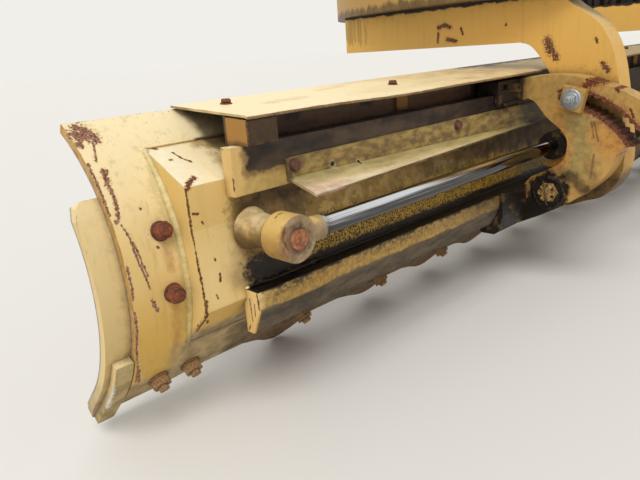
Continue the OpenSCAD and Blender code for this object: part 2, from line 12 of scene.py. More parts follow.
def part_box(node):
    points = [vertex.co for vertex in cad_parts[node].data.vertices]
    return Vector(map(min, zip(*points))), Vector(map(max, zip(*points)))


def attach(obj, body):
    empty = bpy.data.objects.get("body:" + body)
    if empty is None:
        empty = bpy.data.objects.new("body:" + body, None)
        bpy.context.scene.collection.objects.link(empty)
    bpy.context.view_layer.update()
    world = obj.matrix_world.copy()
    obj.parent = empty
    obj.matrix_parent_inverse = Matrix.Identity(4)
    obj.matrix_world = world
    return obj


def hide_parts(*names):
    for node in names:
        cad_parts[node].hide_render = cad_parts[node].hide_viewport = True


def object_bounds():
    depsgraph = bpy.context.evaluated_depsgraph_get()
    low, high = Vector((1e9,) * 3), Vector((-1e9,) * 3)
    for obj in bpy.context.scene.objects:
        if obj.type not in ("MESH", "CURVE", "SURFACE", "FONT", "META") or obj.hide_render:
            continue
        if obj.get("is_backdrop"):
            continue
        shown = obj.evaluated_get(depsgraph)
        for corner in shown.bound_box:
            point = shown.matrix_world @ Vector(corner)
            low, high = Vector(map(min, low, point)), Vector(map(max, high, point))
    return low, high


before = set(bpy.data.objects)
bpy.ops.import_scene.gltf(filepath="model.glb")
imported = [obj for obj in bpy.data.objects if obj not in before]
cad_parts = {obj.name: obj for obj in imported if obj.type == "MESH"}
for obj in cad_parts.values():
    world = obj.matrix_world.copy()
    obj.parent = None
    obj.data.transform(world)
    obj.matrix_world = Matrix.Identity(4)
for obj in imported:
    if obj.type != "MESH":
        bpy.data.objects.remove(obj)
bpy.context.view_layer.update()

bl_info = {
    "name": "Grader blade finish",
    "version": (1, 0, 0),
    "blender": (4, 5, 0),
    "location": "3D View > Sidebar > Blade",
    "description": "Worn paint, rust, grease, welds and bolts for a grader's blade, arms and "
                   "circle",
    "category": "Object",
}

MM = 0.001

# Where the moldboard's own measures start: left end, deepest place of the back, level of the end
# bits' lower edge (metres). All places below are in these blade measures, in millimetres, unless
# they say otherwise.
BLADE_ORIGIN = Vector((-1.829, -0.190, -0.743))
BLADE_LEN = 3658.0
MID_X = BLADE_LEN / 2
ENDS = (-1, 1)
BACK_R = 302.0
SHEET_T = 16.0
EDGE_T = 19.0
ARC_Z = 272.0
ARC_LOW_DEG = 45.0
LOW_Y = BACK_R - BACK_R * math.cos(math.radians(ARC_LOW_DEG))
LOW_Z = ARC_Z - BACK_R * math.sin(math.radians(ARC_LOW_DEG))
BOX_LOW_Z, BOX_TOP_Z = 137.0, 476.0
BOX_END_X = 103.0
# Where the welds start along the upper rail's lower edge and the lower rail's upper edge
UPPER_RAIL = (178, -31, 392)
LOWER_RAIL = (186, -42, 229)
# Pivot of the tilt brackets and the kidney slot about it
PIVOT_Y, PIVOT_Z = -149.0, 218.0
SLOT_R, SLOT_W = 243.0, 38.0
# The circle's axis
HUB_Y = 190.0
# Outer face of the left tilt bracket, from the blade's middle, how far out the clamp's block starts
# and how thick it is, and the clamp's place along the slot
BRACKET_X = 729.0
CLAMP_GAP, BLOCK_T = 5.0, 20.5
CLAMP_DEG = 103.0
# Bolts of the edges, from the blade's end, and how many lie on each half after the end bits' own
BOLT_PITCH = 258.5
FIRST_BOLT_X = 407.0
HALF_BOLTS = 6
BIT_BOLT_X = (57.0, 124.0)
# Places of the end bits' back bolts (along, height) and of the deck's (along, depth)
BACK_BOLTS = ((72, 354), (72, 251))
DECK_BOLTS = ((274, 75), (690, 28), (1522, 60))
DECK_SLOPE = 0.065
# Grease, places from the nearer end: rolls on the lower rail and the shoes (with their depths and
# heights), rings about the pivots, and the split pins beside them
RAIL_ROLL, SHOE_X, ROLL_R = (192, 368), (990, 1086), 6
SHOE_ROLLS = ((-84, 226), (-74, 449))
RING_X, RING_R = 1090, 40
PIN_X, WIRE_R = 1071, 1.6

# Turned shapes, each part as rings (see turned) and what else it is turned with
BACK_NUT = (
    ([(-3, 16.5, 0), (2.6, 16.5, 0), (3.4, 15.6, 0)], {}),
    ([(3, 15, 0.4), (5, 16, 0.9), (15, 16, 0.9), (19, 13.5, 0.3), (20, 11, 0)], {}),
    ([(19, 10, 0), (24, 10, 0), (25, 9, 0)], {}),
)
CLAMP_NUT = (
    ([(0, 39.5, 1), (18.6, 39.5, 1), (BLOCK_T, 37.8, 1)], {"sides": 4}),
    ([(20, 22, 0), (21, 24.5, 0), (24, 24.5, 0), (25.2, 22.6, 0)], {}),
    ([(25, 17, 0.2), (26, 16.6, 1), (36, 16.6, 1), (39, 14.4, 0.2)], {}),
    ([(38, 8.5, 0), (47, 8.5, 0), (49, 7, 0)], {}),
    ([(-70, 12, 0), (1, 12, 0)], {}),
)
CASTLE_NUT = (
    ([(0.5, 27, 1), (12, 27, 1), (14.5, 24, 0.3)], {}),
    ([(14, 22.8, 0), (22, 22.8, 0), (23.5, 21.4, 0)], {"notches": 0.4}),
    ([(-80, 19.5, 0), (1, 19.5, 0)], {}),
    ([(14, 12.5, 0), (22.6, 12.5, 0), (24, 11, 0)], {}),
)
DECK_BOLT = (
    ([(-9, 5, 0), (0, 5, 0), (0.1, 11, 0), (2, 11, 0), (2.4, 10, 0)], {}),
    ([(2, 9.2, 1), (7.6, 9.2, 1), (9.6, 7.6, 0.4)], {}),
)
STUD_COLLAR = [(-3, 37, 0), (1, 37, 0), (4, 35.5, 0), (9, 33, 0), (16, 31, 0), (25, 29.5, 0),
               (38, 28.4, 0), (54, 27.4, 0), (56, 26, 0)]


def linear(colour):
    """sRGB hex to linear RGBA: each channel c becomes c/12.92 below 0.04045, else
    ((c+0.055)/1.055)^2.4."""
    channels = [int(colour[i:i + 2], 16) / 255 for i in (1, 3, 5)]
    return tuple(c / 12.92 if c <= 0.04045 else ((c + 0.055) / 1.055) ** 2.4
                 for c in channels) + (1.0,)


def back_y(z):
    """Depth of the convex back at height z: the arc's circle above the lip, the tangent line below
    it."""
    z = np.asarray(z, float)
    arc = BACK_R - np.sqrt(np.maximum(BACK_R ** 2 - (z - ARC_Z) ** 2, 0))
    lip = LOW_Y + (LOW_Z - z) * math.tan(math.radians(ARC_LOW_DEG))
    return np.where(z >= LOW_Z, arc, lip)


def on_back(x, z):
    """Point of the convex back at a place given along the blade and above the edges' level."""
    return (x, float(back_y(z)), z)


def from_end(x, end):
    """Place along the blade that lies x in from its left end (-1) or its right end (1)."""
    return x if end < 0 else BLADE_LEN - x


def round_pivot(radius, start, end, steps):
    """Points of an arc about the pivot, angles in degrees from forward: y = radius cos a, z =
    radius sin a."""
    return [(0, PIVOT_Y + radius * math.cos(a), PIVOT_Z + radius * math.sin(a))
            for a in np.radians(np.linspace(start, end, steps))]


# ---------------------------------------------------------------- marks left by work, and painted shade along creases
# Each mark is a radius and the points of its broken line; two numbers are a place on the back
SHEET_RUST = [
    (10.4, [(10, 512), (24, 506)]), (9.6, [(22, 520), (34, 508)]), (6.4, [(8, 497), (12, 503)]),
    (6.4, [(36, 500), (38, 508)]), (1.8, [(30, 499), (24, 485), (18, 472)]),
    (4.8, [(21, 456), (18, 440)]), (2.9, [(17, 440), (19, 419), (16, 400), (13, 388), (8, 383)]),
    (1.8, [(14, 377), (20, 358), (21, 340), (24, 316), (28, 300), (32, 280), (33, 270)]),
    (1.8, [(22, 350), (27, 330), (29, 312), (34, 292)]), (3, [(34, 249), (42, 228)]),
    (2.2, [(2, 240), (3, 205), (1, 170), (6, 128), (8, 94)]), (2.6, [(9, 120), (14, 88)]),
    (1.8, [(3, 316), (4, 287), (3, 262)]), (1.9, [(60, 332), (61, 330)]),
    (1.9, [(52, 395), (53, 394)]), (2.1, [(3, 470), (2, 430), (1, 395)]),
]
BOX_RUST = [
    (1.8, [(142, 57, 465), (146, 40, 457), (156, 25, 450)]),
    (2.2, [(126, 41, 457), (128, 41, 457)]), (2.4, [(118, 76, 474), (122, 74, 473)]),
    (3.7, [(134, -12, 431), (122, -17, 428), (108, -30, 421)]),
    (1.8, [(104, -30, 420), (104, -30, 384), (104, -30, 359), (105, -33, 328), (104, -35, 301),
           (105, -38, 262), (104, -40, 236)]),
    (3.1, [(106, -41, 232), (104, -42, 214), (108, -30, 200), (106, 2, 168)]),
    (2, [(111, -30, 379), (120, -30, 376)]), (1.6, [(125, -30, 362), (127, -30, 358)]),
    (1.5, [(137, -35, 298), (138, -35, 294)]), (1.9, [(142, -38, 270), (141, -38, 258)]),
    (1.6, [(128, -41, 236), (130, -41, 230)]), (2, [(116, -20, 190), (122, -10, 180)]),
]
BRACKET_RUST = [
    (13, [(0, -240, 494), (0, -262, 500)]), (8, [(0, -225, 485), (0, -232, 488)]),
    (4, [(0, -160, 470), (0, -180, 478)]), (3, [(0, -176, 482), (0, -184, 486)]),
    (3.4, [(0, -276, 492), (0, -290, 484), (0, -300, 470)]),
    (2.6, [(0, -330, 430), (0, -338, 412)]),
]
# Dark lines on the brackets' faces: painted shade along shallow creases
BRACKET_CREASE_SHADE = [
    (2.6, [(0, -250, 399), (0, -263, 354)]), (2.2, [(0, -244, 400), (0, -252, 362)]),
    (2.6, [(0, -255, 320), (0, -250, 262)]), (3, [(0, -310, 322), (0, -322, 250), (0, -300, 200)]),
]
ARM_RUST = [
    (5.1, [(1165, 236, 646), (1165, 214, 652), (1165, 196, 644)]),
    (5.1, [(1165, 205, 612), (1165, 178, 606)]), (3, [(1165, 236, 632), (1165, 238, 606)]),
    (3, [(1165, 160, 640), (1165, 154, 622)]), (9.3, [(1165, -96, 590), (1165, -104, 566)]),
    (6.8, [(1165, -108, 566), (1165, -120, 548)]), (5.1, [(1165, -236, 530), (1165, -250, 512)]),
    (2.5, [(1165, 20, 640), (1165, 22, 636)]), (2.5, [(1165, -216, 590), (1165, -220, 580)]),
]
# Inner and outer edge of the brackets' kidney slot, its middle, and the rim of their throat
SLOT_EDGES = [round_pivot(SLOT_R + side * (SLOT_W / 2 + 1.5), 109, 147, 7) for side in (-1, 1)]
SLOT_MIDDLE = round_pivot(SLOT_R, 97, 147, 12)
THROAT = [(0, -168, 377), (0, -184, 350), (0, -186, 320), (0, -176, 298), (0, -152, 284)]
# Lets marks run right through the brackets
THROUGH = (0, 1, 1)


def feed(tree, node, feeds):
    """Feeds a node's inputs from sockets, or with plain values or hex colours."""
    for key, value in feeds.items() if isinstance(feeds, dict) else enumerate(feeds):
        if isinstance(value, bpy.types.NodeSocket):
            tree.links.new(value, node.inputs[key])
        else:
            node.inputs[key].default_value = linear(value) if isinstance(value, str) else value


def add(tree, kind, feeds=(), out=0, **settings):
    """Adds a shader node, sets it up, feeds its inputs and gives one of its outputs."""
    node = tree.nodes.new("ShaderNode" + kind)
    for key, value in settings.items():
        setattr(node, key, value)
    feed(tree, node, feeds)
    return node.outputs[out] if len(node.outputs) else node


COLOURS = {"out": 2, "data_type": "RGBA"}
SMOOTH = {"interpolation_type": "SMOOTHSTEP"}
PLUS, LESS, TIMES = {"operation": "ADD"}, {"operation": "SUBTRACT"}, {"operation": "MULTIPLY"}
LEAST, MOST = {"operation": "MINIMUM"}, {"operation": "MAXIMUM"}
TIMES_PLUS = {"operation": "MULTIPLY_ADD"}
DOT = {"out": "Value", "operation": "DOT_PRODUCT"}
DISTANCE = {"out": "Value", "operation": "DISTANCE"}


def finish_tree(name):
    """An empty node material, its shader, and Object coordinates turned to blade measures: 1000
    times the place less the blade's origin."""
    material = bpy.data.materials.new(name)
    material.use_nodes = True
    tree = material.node_tree
    tree.nodes.clear()
    closed = add(tree, "BsdfPrincipled")
    add(tree, "OutputMaterial", {"Surface": closed})
    coords = add(tree, "TexCoord", out="Object")
    place = add(tree, "Mapping", {"Vector": coords, "Location": -BLADE_ORIGIN / MM,
                                  "Scale": (1 / MM,) * 3})
    return material, tree, closed.node, place


def mottle(tree, place, grain, stretch=(1, 1, 1), detail=4, rough=0.6):
    """Cloudy pattern from 0 to 1 whose lumps are grain millimetres wide, drawn out by stretch along
    each axis."""
    scaled = add(tree, "VectorMath", (place, tuple(1 / (grain * s) for s in stretch)), **TIMES)
    return add(tree, "TexNoise", {"Vector": scaled, "Scale": 1, "Detail": detail,
                                  "Roughness": rough})


def stained(tree, colour, *stains):
    """A colour with stains laid over it one by one. Each is a pattern, its values where the stain
    starts and where it is full, how much that hides, and the stain's colour."""
    for pattern, start, full, share, tint in stains:
        amount = add(tree, "MapRange", (pattern, start, full, 0, share), **SMOOTH)
        colour = add(tree, "Mix", {0: amount, 6: colour, 7: tint}, **COLOURS)
    return colour


def line_score(tree, place, lines, squash):
    """Least distance to any of the broken lines, each measured in its own radius. A point is
    projected on a leg, the share along the leg is held between 0 and 1, and the distance to that
    foot is divided by the radius. Squash shrinks all distances along an axis first, so 0 lets the
    mark run right through."""
    pressed = add(tree, "VectorMath", (place, squash), **TIMES)
    dot = Vector((0, 0, 0.5))
    least = None
    for radius, path in lines:
        points = [Vector(p if len(p) == 3 else on_back(*p)) * Vector(squash) for p in path]
        for a, b in zip(points, points[1:] or [points[0] + dot]):
            leg = b - a
            away = add(tree, "VectorMath", (pressed, a), **LESS)
            along = add(tree, "VectorMath", (away, leg / leg.length_squared), **DOT)
            held = add(tree, "Clamp", (along,))
            foot = add(tree, "VectorMath", {0: leg, "Scale": held}, operation="SCALE")
            gap = add(tree, "VectorMath", (away, foot), **DISTANCE)
            score = add(tree, "Math", (gap, radius), operation="DIVIDE")
            least = score if least is None else add(tree, "Math", (least, score), **LEAST)
    return least


class Coat(NamedTuple):
    """A coat on a finish: two colours that mottle over each other, and where they lie. A measure
    of the ground is given as its value where the coat starts and where it is full, one such pair
    after the other."""
    dark: str
    pale: str
    ragged: float = 0.8  # how far lumps push its edge in and out
    grain: float = 20  # width of those lumps
    soft: float = 0.12  # how slowly it turns from bare to full
    share: float = 1  # how much it hides where it is full
    coarse: float = 14  # width of the mottles of its two colours
    stretch: tuple = (1, 1, 1)  # how far its lumps are drawn out along each axis
    lines: tuple = ()  # broken lines, each with a radius, along which it lies
    squash: tuple = (1, 1, 1)  # see line_score
    both_ends: bool = False  # its lines lie at both ends of the blade
    peep: tuple = ()  # grain, level and depth of small holes in it
    halo: str = ""  # colour of a stain round it
    raised: float = 0  # how high it stands, sunk below 0
    dull: float = 0  # what it adds to the roughness
    metal: float = 0  # share of bare metal in it
    x: tuple = ()
    y: tuple = ()
    z: tuple = ()
    end: tuple = ()
    arc: tuple = ()
    hub: tuple = ()
    up: tuple = ()
    forward: tuple = ()


rust = partial(Coat, dark="#42261B", pale="#865A40", ragged=1, grain=5, soft=0.08, coarse=4,
               raised=-0.45, dull=0.25)
# Brown-black coat: painted shade under, behind and deep among the parts, and dirt in some places
shade_and_dirt = partial(Coat, dark="#221A13", pale="#5E482C", ragged=0.6, grain=46, soft=0.28, share=0.9,
               coarse=20)
grease = partial(Coat, dark="#0C0908", pale="#221A13", ragged=0.6, grain=22, soft=0.07, share=0.98,
                 coarse=9, raised=0.55, dull=-0.1)
# Grey-brown coat: road dust, and painted shade on low and down-turned faces
dust_and_shade = partial(Coat, dark="#7A6A52", pale="#A08F74", ragged=0.4, grain=40, soft=0.35,
                    share=0.85, coarse=26, dull=0.2)
polish = partial(Coat, dark="#8A8275", pale="#A9A193", ragged=0.5, grain=70, soft=0.2, share=0.95,
                 coarse=9, stretch=(14, 1, 1), raised=-0.12, dull=-0.14, metal=0.6)


class Ground:
    """What the coats of a finish read: blade place, the same folded about the blade's middle so
    that both ends wear alike, and the measures: x, y, z, distance from the nearer end, from the
    axis of the sheet's arc and from the circle's axis, and how far a face looks up or forward."""

    def __init__(self, tree, place):
        self.tree, self.place = tree, place
        x, y, z = (add(tree, "SeparateXYZ", (place,), axis) for axis in "XYZ")
        from_mid = add(tree, "Math", (add(tree, "Math", (x, MID_X), **LESS),),
                       operation="ABSOLUTE")
        end = add(tree, "Math", (MID_X, from_mid), **LESS)
        self.folded = add(tree, "CombineXYZ", (end, y, z))
        across = add(tree, "VectorMath", (place, (0, 1, 1)), **TIMES)
        level = add(tree, "VectorMath", (place, (1, 1, 0)), **TIMES)
        arc = add(tree, "VectorMath", (across, (0, BACK_R, ARC_Z)), **DISTANCE)
        hub = add(tree, "VectorMath", (level, (MID_X, HUB_Y, 0)), **DISTANCE)
        normal = add(tree, "NewGeometry", out="Normal")
        facing = add(tree, "VectorTransform", (normal,), vector_type="NORMAL",
                     convert_from="WORLD", convert_to="OBJECT")
        up, forward = (add(tree, "SeparateXYZ", (facing,), axis) for axis in "ZY")
        self.measures = {"x": x, "y": y, "z": z, "end": end, "arc": arc, "hub": hub, "up": up,
                         "forward": forward}

    def cover(self, coat):
        """How much of the ground a coat hides and how strong its halo is, 0 to 1. Lines give 1 -
        half their score, a measure runs from 0 to 1 between its two values, the least of them
        holds, lumps make it ragged, and it turns from bare to full about a half."""
        tree = self.tree
        amounts = []
        if coat.lines:
            place = self.folded if coat.both_ends else self.place
            score = line_score(tree, place, coat.lines, coat.squash)
            half = add(tree, "Math", (score, 0.5), **TIMES)
            amounts.append(add(tree, "Math", (1, half), **LESS))
        for name, measure in self.measures.items():
            values = getattr(coat, name)
            for start, full in zip(values[::2], values[1::2]):
                amounts.append(add(tree, "MapRange", (measure, start, full, 0, 1), clamp=False))
        amount = amounts[0]
        for other in amounts[1:]:
            amount = add(tree, "Math", (amount, other), **LEAST)
        lumps = mottle(tree, self.place, coat.grain, coat.stretch, 5)
        spread = add(tree, "Math", (add(tree, "Math", (lumps, 0.5), **LESS), 2 * coat.ragged),
                     **TIMES)
        ragged = add(tree, "Math", (amount, spread), **PLUS)
        hidden = add(tree, "MapRange", (ragged, 0.5 - coat.soft, 0.5 + coat.soft, 0, coat.share),
                     **SMOOTH)
        if coat.peep:
            grain, level, depth = coat.peep
            holes = mottle(tree, self.place, grain, detail=3)
            kept = add(tree, "MapRange", (holes, level - 0.03, level + 0.03, 1, 1 - depth),
                       **SMOOTH)
            hidden = add(tree, "Math", (hidden, kept), **TIMES)
        return hidden, add(tree, "MapRange", (ragged, -0.1, 0.5, 0, 0.5), **SMOOTH)


def worn_paint(name, light, deep, coats, chips=0.5, film=0.25, sun=(-0.4, 0.9), dirt_and_shade_in_nooks=0.7,
               nook=0.04, bend_radius=0.0022):
    """Alkyd enamel on rolled steel, years in the sun: half gloss where it is sheltered, paler where
    it faces up (light), which is sun chalking and painted light from above, ochre where it doesn't
    (deep), rust along its edges as far as chips says, washed dirt as strong as film, dirt and
    painted shade in corners within nook, and coats on it all.
    Sun is how far a face looks up where it starts to pale and where it is palest."""
    material, tree, shader, place = finish_tree(name)
    ground = Ground(tree, place)
    cloud = mottle(tree, place, 240, detail=3)
    fleck = mottle(tree, place, 7, detail=5)
    # Real orange peel is 1 to 2 mm wide; 2.4 mm is the least that shows
    peel = mottle(tree, place, 2.4, detail=2)
    runs = mottle(tree, place, 11, (1, 1, 13))
    pinholes = mottle(tree, place, 9, detail=2)
    drift = add(tree, "Math", (add(tree, "Math", (cloud, 0.5), **LESS), 0.9), **TIMES)
    raised = add(tree, "Math", (ground.measures["up"], drift), **PLUS)
    # Corners and hollows within nook go dark brown: dirt, and painted shade
    open_air = add(tree, "AmbientOcclusion", {"Distance": nook}, "AO", samples=4)
    nook_dirt_and_shade = add(tree, "Math", (mottle(tree, place, 18), 0.7, open_air), **TIMES_PLUS)
    # Sun chalking and painted light on faces that look up, dirt washed down in runs, specks,
    # pinholes of rust, dirt and painted shade in corners
    colour = stained(tree, deep, (raised, *sun, 1, light), (runs, 0.5, 0.72, film, "#A08048"),
                     (fleck, 0.55, 0.8, 0.22, "#B59A62"), (pinholes, 0.74, 0.77, 0.8, "#5E3A26"),
                     (nook_dirt_and_shade, 1.12, 0.72, dirt_and_shade_in_nooks, "#4E3A22"))
    rough = add(tree, "MapRange", (fleck, 0.2, 0.8, 0.43, 0.62))
    # Rounded edges by the bevel's own normal; where it leaves the face's, the paint has worn off
    rounded, wide = (add(tree, "Bevel", {"Radius": radius}, samples=4)
                     for radius in (bend_radius, 0.0034))
    bend = add(tree, "VectorMath", (wide, add(tree, "NewGeometry", out="Normal")), **DOT)
    edge = add(tree, "MapRange", (bend, 0.985, 0.86, 0, 1), **SMOOTH)
    torn = mottle(tree, place, 24, detail=6, rough=0.7)
    patchy = add(tree, "MapRange", (torn, 0.66 - 0.2 * chips, 0.71 - 0.2 * chips, 0, 0.9),
                 **SMOOTH)
    chipped = add(tree, "Math", (edge, patchy), **TIMES)
    scale = add(tree, "Mix", {0: fleck, 6: "#4A2E22", 7: "#A0704C"}, **COLOURS)
    colour = add(tree, "Mix", {0: chipped, 6: colour, 7: scale}, **COLOURS)
    height = add(tree, "Math", (add(tree, "Math", (peel, 0.1), **TIMES),
                                add(tree, "Math", (chipped, 0.3), **TIMES)), **LESS)
    for coat in coats:
        hidden, halo = ground.cover(coat)
        grain = mottle(tree, place, coat.coarse, coat.stretch, 5)
        own = stained(tree, coat.dark, (grain, 0.34, 0.66, 1, coat.pale))
        if coat.halo:
            colour = add(tree, "Mix", {0: halo, 6: colour, 7: coat.halo}, **COLOURS)
        colour = add(tree, "Mix", {0: hidden, 6: colour, 7: own}, **COLOURS)
        if coat.dull:
            rough = add(tree, "Math", (hidden, coat.dull, rough), **TIMES_PLUS)
        if coat.raised:
            lump = add(tree, "Math", (add(tree, "Math", (grain, 0.5), **PLUS), coat.raised),
                       **TIMES)
            height = add(tree, "Math", (hidden, lump, height), **TIMES_PLUS)
        if coat.metal:
            feed(tree, shader, {"Metallic": add(tree, "Math", (hidden, coat.metal), **TIMES)})
    bump = add(tree, "Bump", {"Strength": 0.7, "Distance": 0.0011, "Height": height,
                              "Normal": rounded})
    feed(tree, shader, {"Base Color": colour, "Roughness": rough, "Normal": bump,
                        "Specular IOR Level": 0.28})
    return material


def rusted_steel(name, dark, bright, grain=3, bloom="#9A4A26", dust=0.2, rough=0.85):
    """Hot rolled steel left outdoors: brown scale with orange bloom, dust in its pits, wet dirt and
    painted shade in slots and under heads, no gloss."""
    material, tree, shader, place = finish_tree(name)
    # Real scale pits are under 1 mm; they are drawn at 3 mm so that they show
    scale = mottle(tree, place, grain, detail=6)
    patches = mottle(tree, place, grain * 6)
    fine = mottle(tree, place, grain * 0.4)
    # Slots and steel under heads go near black: wet dirt and painted shade
    open_air = add(tree, "AmbientOcclusion", {"Distance": 0.012}, "AO", samples=4)
    colour = stained(tree, dark, (scale, 0.34, 0.66, 1, bright), (patches, 0.45, 0.68, 0.55, bloom),
                     (fine, 0.5, 0.75, dust, "#9A8A70"), (open_air, 0.75, 0.35, 0.85, "#1C140E"))
    rounded = add(tree, "Bevel", {"Radius": 0.002}, samples=4)
    relief = add(tree, "Math", (fine, 0.4, scale), **TIMES_PLUS)
    bump = add(tree, "Bump", {"Strength": 0.8, "Distance": 0.0007, "Height": relief,
                              "Normal": rounded})
    feed(tree, shader, {"Base Color": colour, "Roughness": rough, "Normal": bump})
    return material


def old_grease(name, show="#8A6A32", share=0.35, grain=26):
    """Open gear grease thick with grit: black and half wet where it is packed, a film of the colour
    show where it rubs."""
    material, tree, shader, place = finish_tree(name)
    lumps = mottle(tree, place, grain, (1.8, 1, 1), 6)
    fine = mottle(tree, place, grain * 0.22)
    black = add(tree, "Mix", {0: fine, 6: "#0C0908", 7: "#2A2018"}, **COLOURS)
    colour = stained(tree, black, (lumps, 0.54, 0.62, share, show))
    rounded = add(tree, "Bevel", {"Radius": 0.0022}, samples=4)
    relief = add(tree, "Math", (fine, lumps), **LESS)
    bump = add(tree, "Bump", {"Strength": 0.8, "Distance": 0.0022, "Height": relief,
                              "Normal": rounded})
    gloss = add(tree, "MapRange", (lumps, 0.35, 0.65, 0.36, 0.62))
    feed(tree, shader, {"Base Color": colour, "Roughness": gloss, "Normal": bump,
                        "Specular IOR Level": 0.3})
    return material


def plated_bolt():
    """Zinc plate on steel, inboard of it the painted clamp block: satin blue grey metal with white
    bloom on the bolt, enamel on the block."""
    material, tree, shader, place = finish_tree("Zinc_plate_and_enamel")
    block_end = MID_X - BRACKET_X - CLAMP_GAP - BLOCK_T
    bolt = add(tree, "MapRange", (Ground(tree, place).measures["end"], block_end - 1, block_end,
                                  1, 0))
    dirt = mottle(tree, place, 9, detail=5)
    zinc = stained(tree, "#A9ADB2", (dirt, 0.45, 0.65, 0.5, "#8A8272"))
    enamel = stained(tree, "#B08A48", (dirt, 0.5, 0.7, 0.6, "#7A5C34"))
    colour = add(tree, "Mix", {0: bolt, 6: enamel, 7: zinc}, **COLOURS)
    rounded = add(tree, "Bevel", {"Radius": 0.002}, samples=4)
    bump = add(tree, "Bump", {"Strength": 0.5, "Distance": 0.0005, "Height": dirt,
                              "Normal": rounded})
    feed(tree, shader, {"Base Color": colour, "Normal": bump,
                        "Metallic": add(tree, "Math", (bolt, 0.9), **TIMES),
                        "Roughness": add(tree, "MapRange", (dirt, 0.3, 0.7, 0.34, 0.6))})
    return material


def chromed_rod(eye_coats):
    """Hard chrome on ground steel bar: a near mirror with fine lengthwise rub lines and an oily
    haze; its forged eye and neck are enamelled, dusty on the face."""
    material = worn_paint("Hard_chrome_and_enamel", "#D2B06A", "#B08A48", eye_coats, chips=0.3)
    tree = material.node_tree
    shader, mapping, bump = (next(n for n in tree.nodes if n.type == kind)
                             for kind in ("BSDF_PRINCIPLED", "MAPPING", "BUMP"))
    place = mapping.outputs[0]
    measures = Ground(tree, place).measures
    x = measures["x"]
    # The neck's paint ends in a dusty band; beyond it the rod runs bare
    bare = add(tree, "MapRange", (x, 279, 284, 0, 1), **SMOOTH)
    lines = mottle(tree, place, 1.6, (60, 1, 1))
    haze = mottle(tree, place, 60, (3, 1, 1))
    hazed = add(tree, "MapRange", (haze, 0.55, 0.75, 0, 0.3), **SMOOTH)
    near_eye = add(tree, "MapRange", (x, 286, 306, 0.5, 0), **SMOOTH)
    dim = add(tree, "Math", (hazed, near_eye), **MOST)
    # Painted reflection: the lower side goes dark in lengthwise bands as wide as the wiper's lips,
    # more so further along the rod
    reflection_bands = mottle(tree, place, 3.4, (90, 1, 1))
    far = add(tree, "MapRange", (x, 450, 1000, 0, 0.5))
    lifted = add(tree, "Math", (measures["up"], far), **LESS)
    drawn = add(tree, "Math", (reflection_bands, 2.2, lifted), **TIMES_PLUS)
    chrome = add(tree, "Mix", {0: dim, 6: "#DADDE2", 7: "#9A978E"}, **COLOURS)
    chrome = stained(tree, chrome, (drawn, 1.85, 1, 0.92, "#2E2A27"))
    gloss = add(tree, "MapRange", (lines, 0.3, 0.7, 0.05, 0.13))
    dulled = add(tree, "Math", (dim, 0.35, gloss), **TIMES_PLUS)
    paint, paint_rough = (shader.inputs[name].links[0].from_socket
                          for name in ("Base Color", "Roughness"))
    feed(tree, shader, {
        "Base Color": add(tree, "Mix", {0: bare, 6: paint, 7: chrome}, **COLOURS),
        "Roughness": add(tree, "Mix", {0: bare, 2: paint_rough, 3: dulled}), "Metallic": bare})
    feed(tree, bump, {"Strength": add(tree, "MapRange", (bare, 0, 1, 0.7, 0.04))})
    return material


def dress(node, material):
    """Gives a CAD node its finish."""
    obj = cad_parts[node]
    if not obj.material_slots:
        obj.data.materials.append(material)
    for one in obj.material_slots:
        one.material = material


def blade_box(node):
    """Low and high corner of a CAD node's box, in blade measures."""
    return [[(v - o) / MM for v, o in zip(corner, BLADE_ORIGIN)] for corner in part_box(node)]


def piece(name, parts, material, body, old=None, smooth=True):
    """A new piece from the points (blade measures) and faces of its parts, riding on a body, in
    place of an old node where one is named."""
    points, faces, start = [], [], 0
    for part_points, part_faces in parts:
        points.append(part_points)
        faces += [[i + start for i in face] for face in part_faces]
        start += len(part_points)
    mesh = bpy.data.meshes.new(name)
    places = np.concatenate(points).astype(float) * MM + np.array(BLADE_ORIGIN)
    mesh.from_pydata(places.tolist(), [], faces)
    mesh.polygons.foreach_set("use_smooth", [smooth] * len(mesh.polygons))
    mesh.materials.append(material)
    mesh.update()
    obj = bpy.data.objects.new(name, mesh)
    bpy.context.scene.collection.objects.link(obj)
    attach(obj, body)
    if old:
        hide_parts(old)


def around(count):
    """Angles of a ring of points."""
    return np.linspace(0, 2 * np.pi, count + 1)[:-1]


def tube_faces(rows, columns):
    """Corner numbers of the quads of a grid whose columns join round on themselves."""
    r, c = np.meshgrid(np.arange(rows - 1), np.arange(columns), indexing="ij")
    c1 = (c + 1) % columns
    corners = [r * columns + c, r * columns + c1, (r + 1) * columns + c1, (r + 1) * columns + c]
    return np.stack(corners, -1).reshape(-1, 4).tolist()


def carried(path, side, out, reach):
    """A round section carried along a path: point = path + (side * cos a + out * sin a) * reach,
    with a row of reach for each place and a column for each angle a. The ends close to a point on
    the path. Returns points and faces."""
    n, m = reach.shape
    a = around(m)
    rings = path[:, None] + reach[:, :, None] * (side[:, None] * np.cos(a)[None, :, None]
                                                 + out[:, None] * np.sin(a)[None, :, None])
    points = np.concatenate([rings.reshape(-1, 3), path[[0, -1]]])
    k = np.arange(m)
    first = np.stack([np.full(m, n * m), (k + 1) % m, k], -1)
    last = np.stack([np.full(m, n * m + 1), (n - 1) * m + k, (n - 1) * m + (k + 1) % m], -1)
    return points, tube_faces(n, m) + first.tolist() + last.tolist()


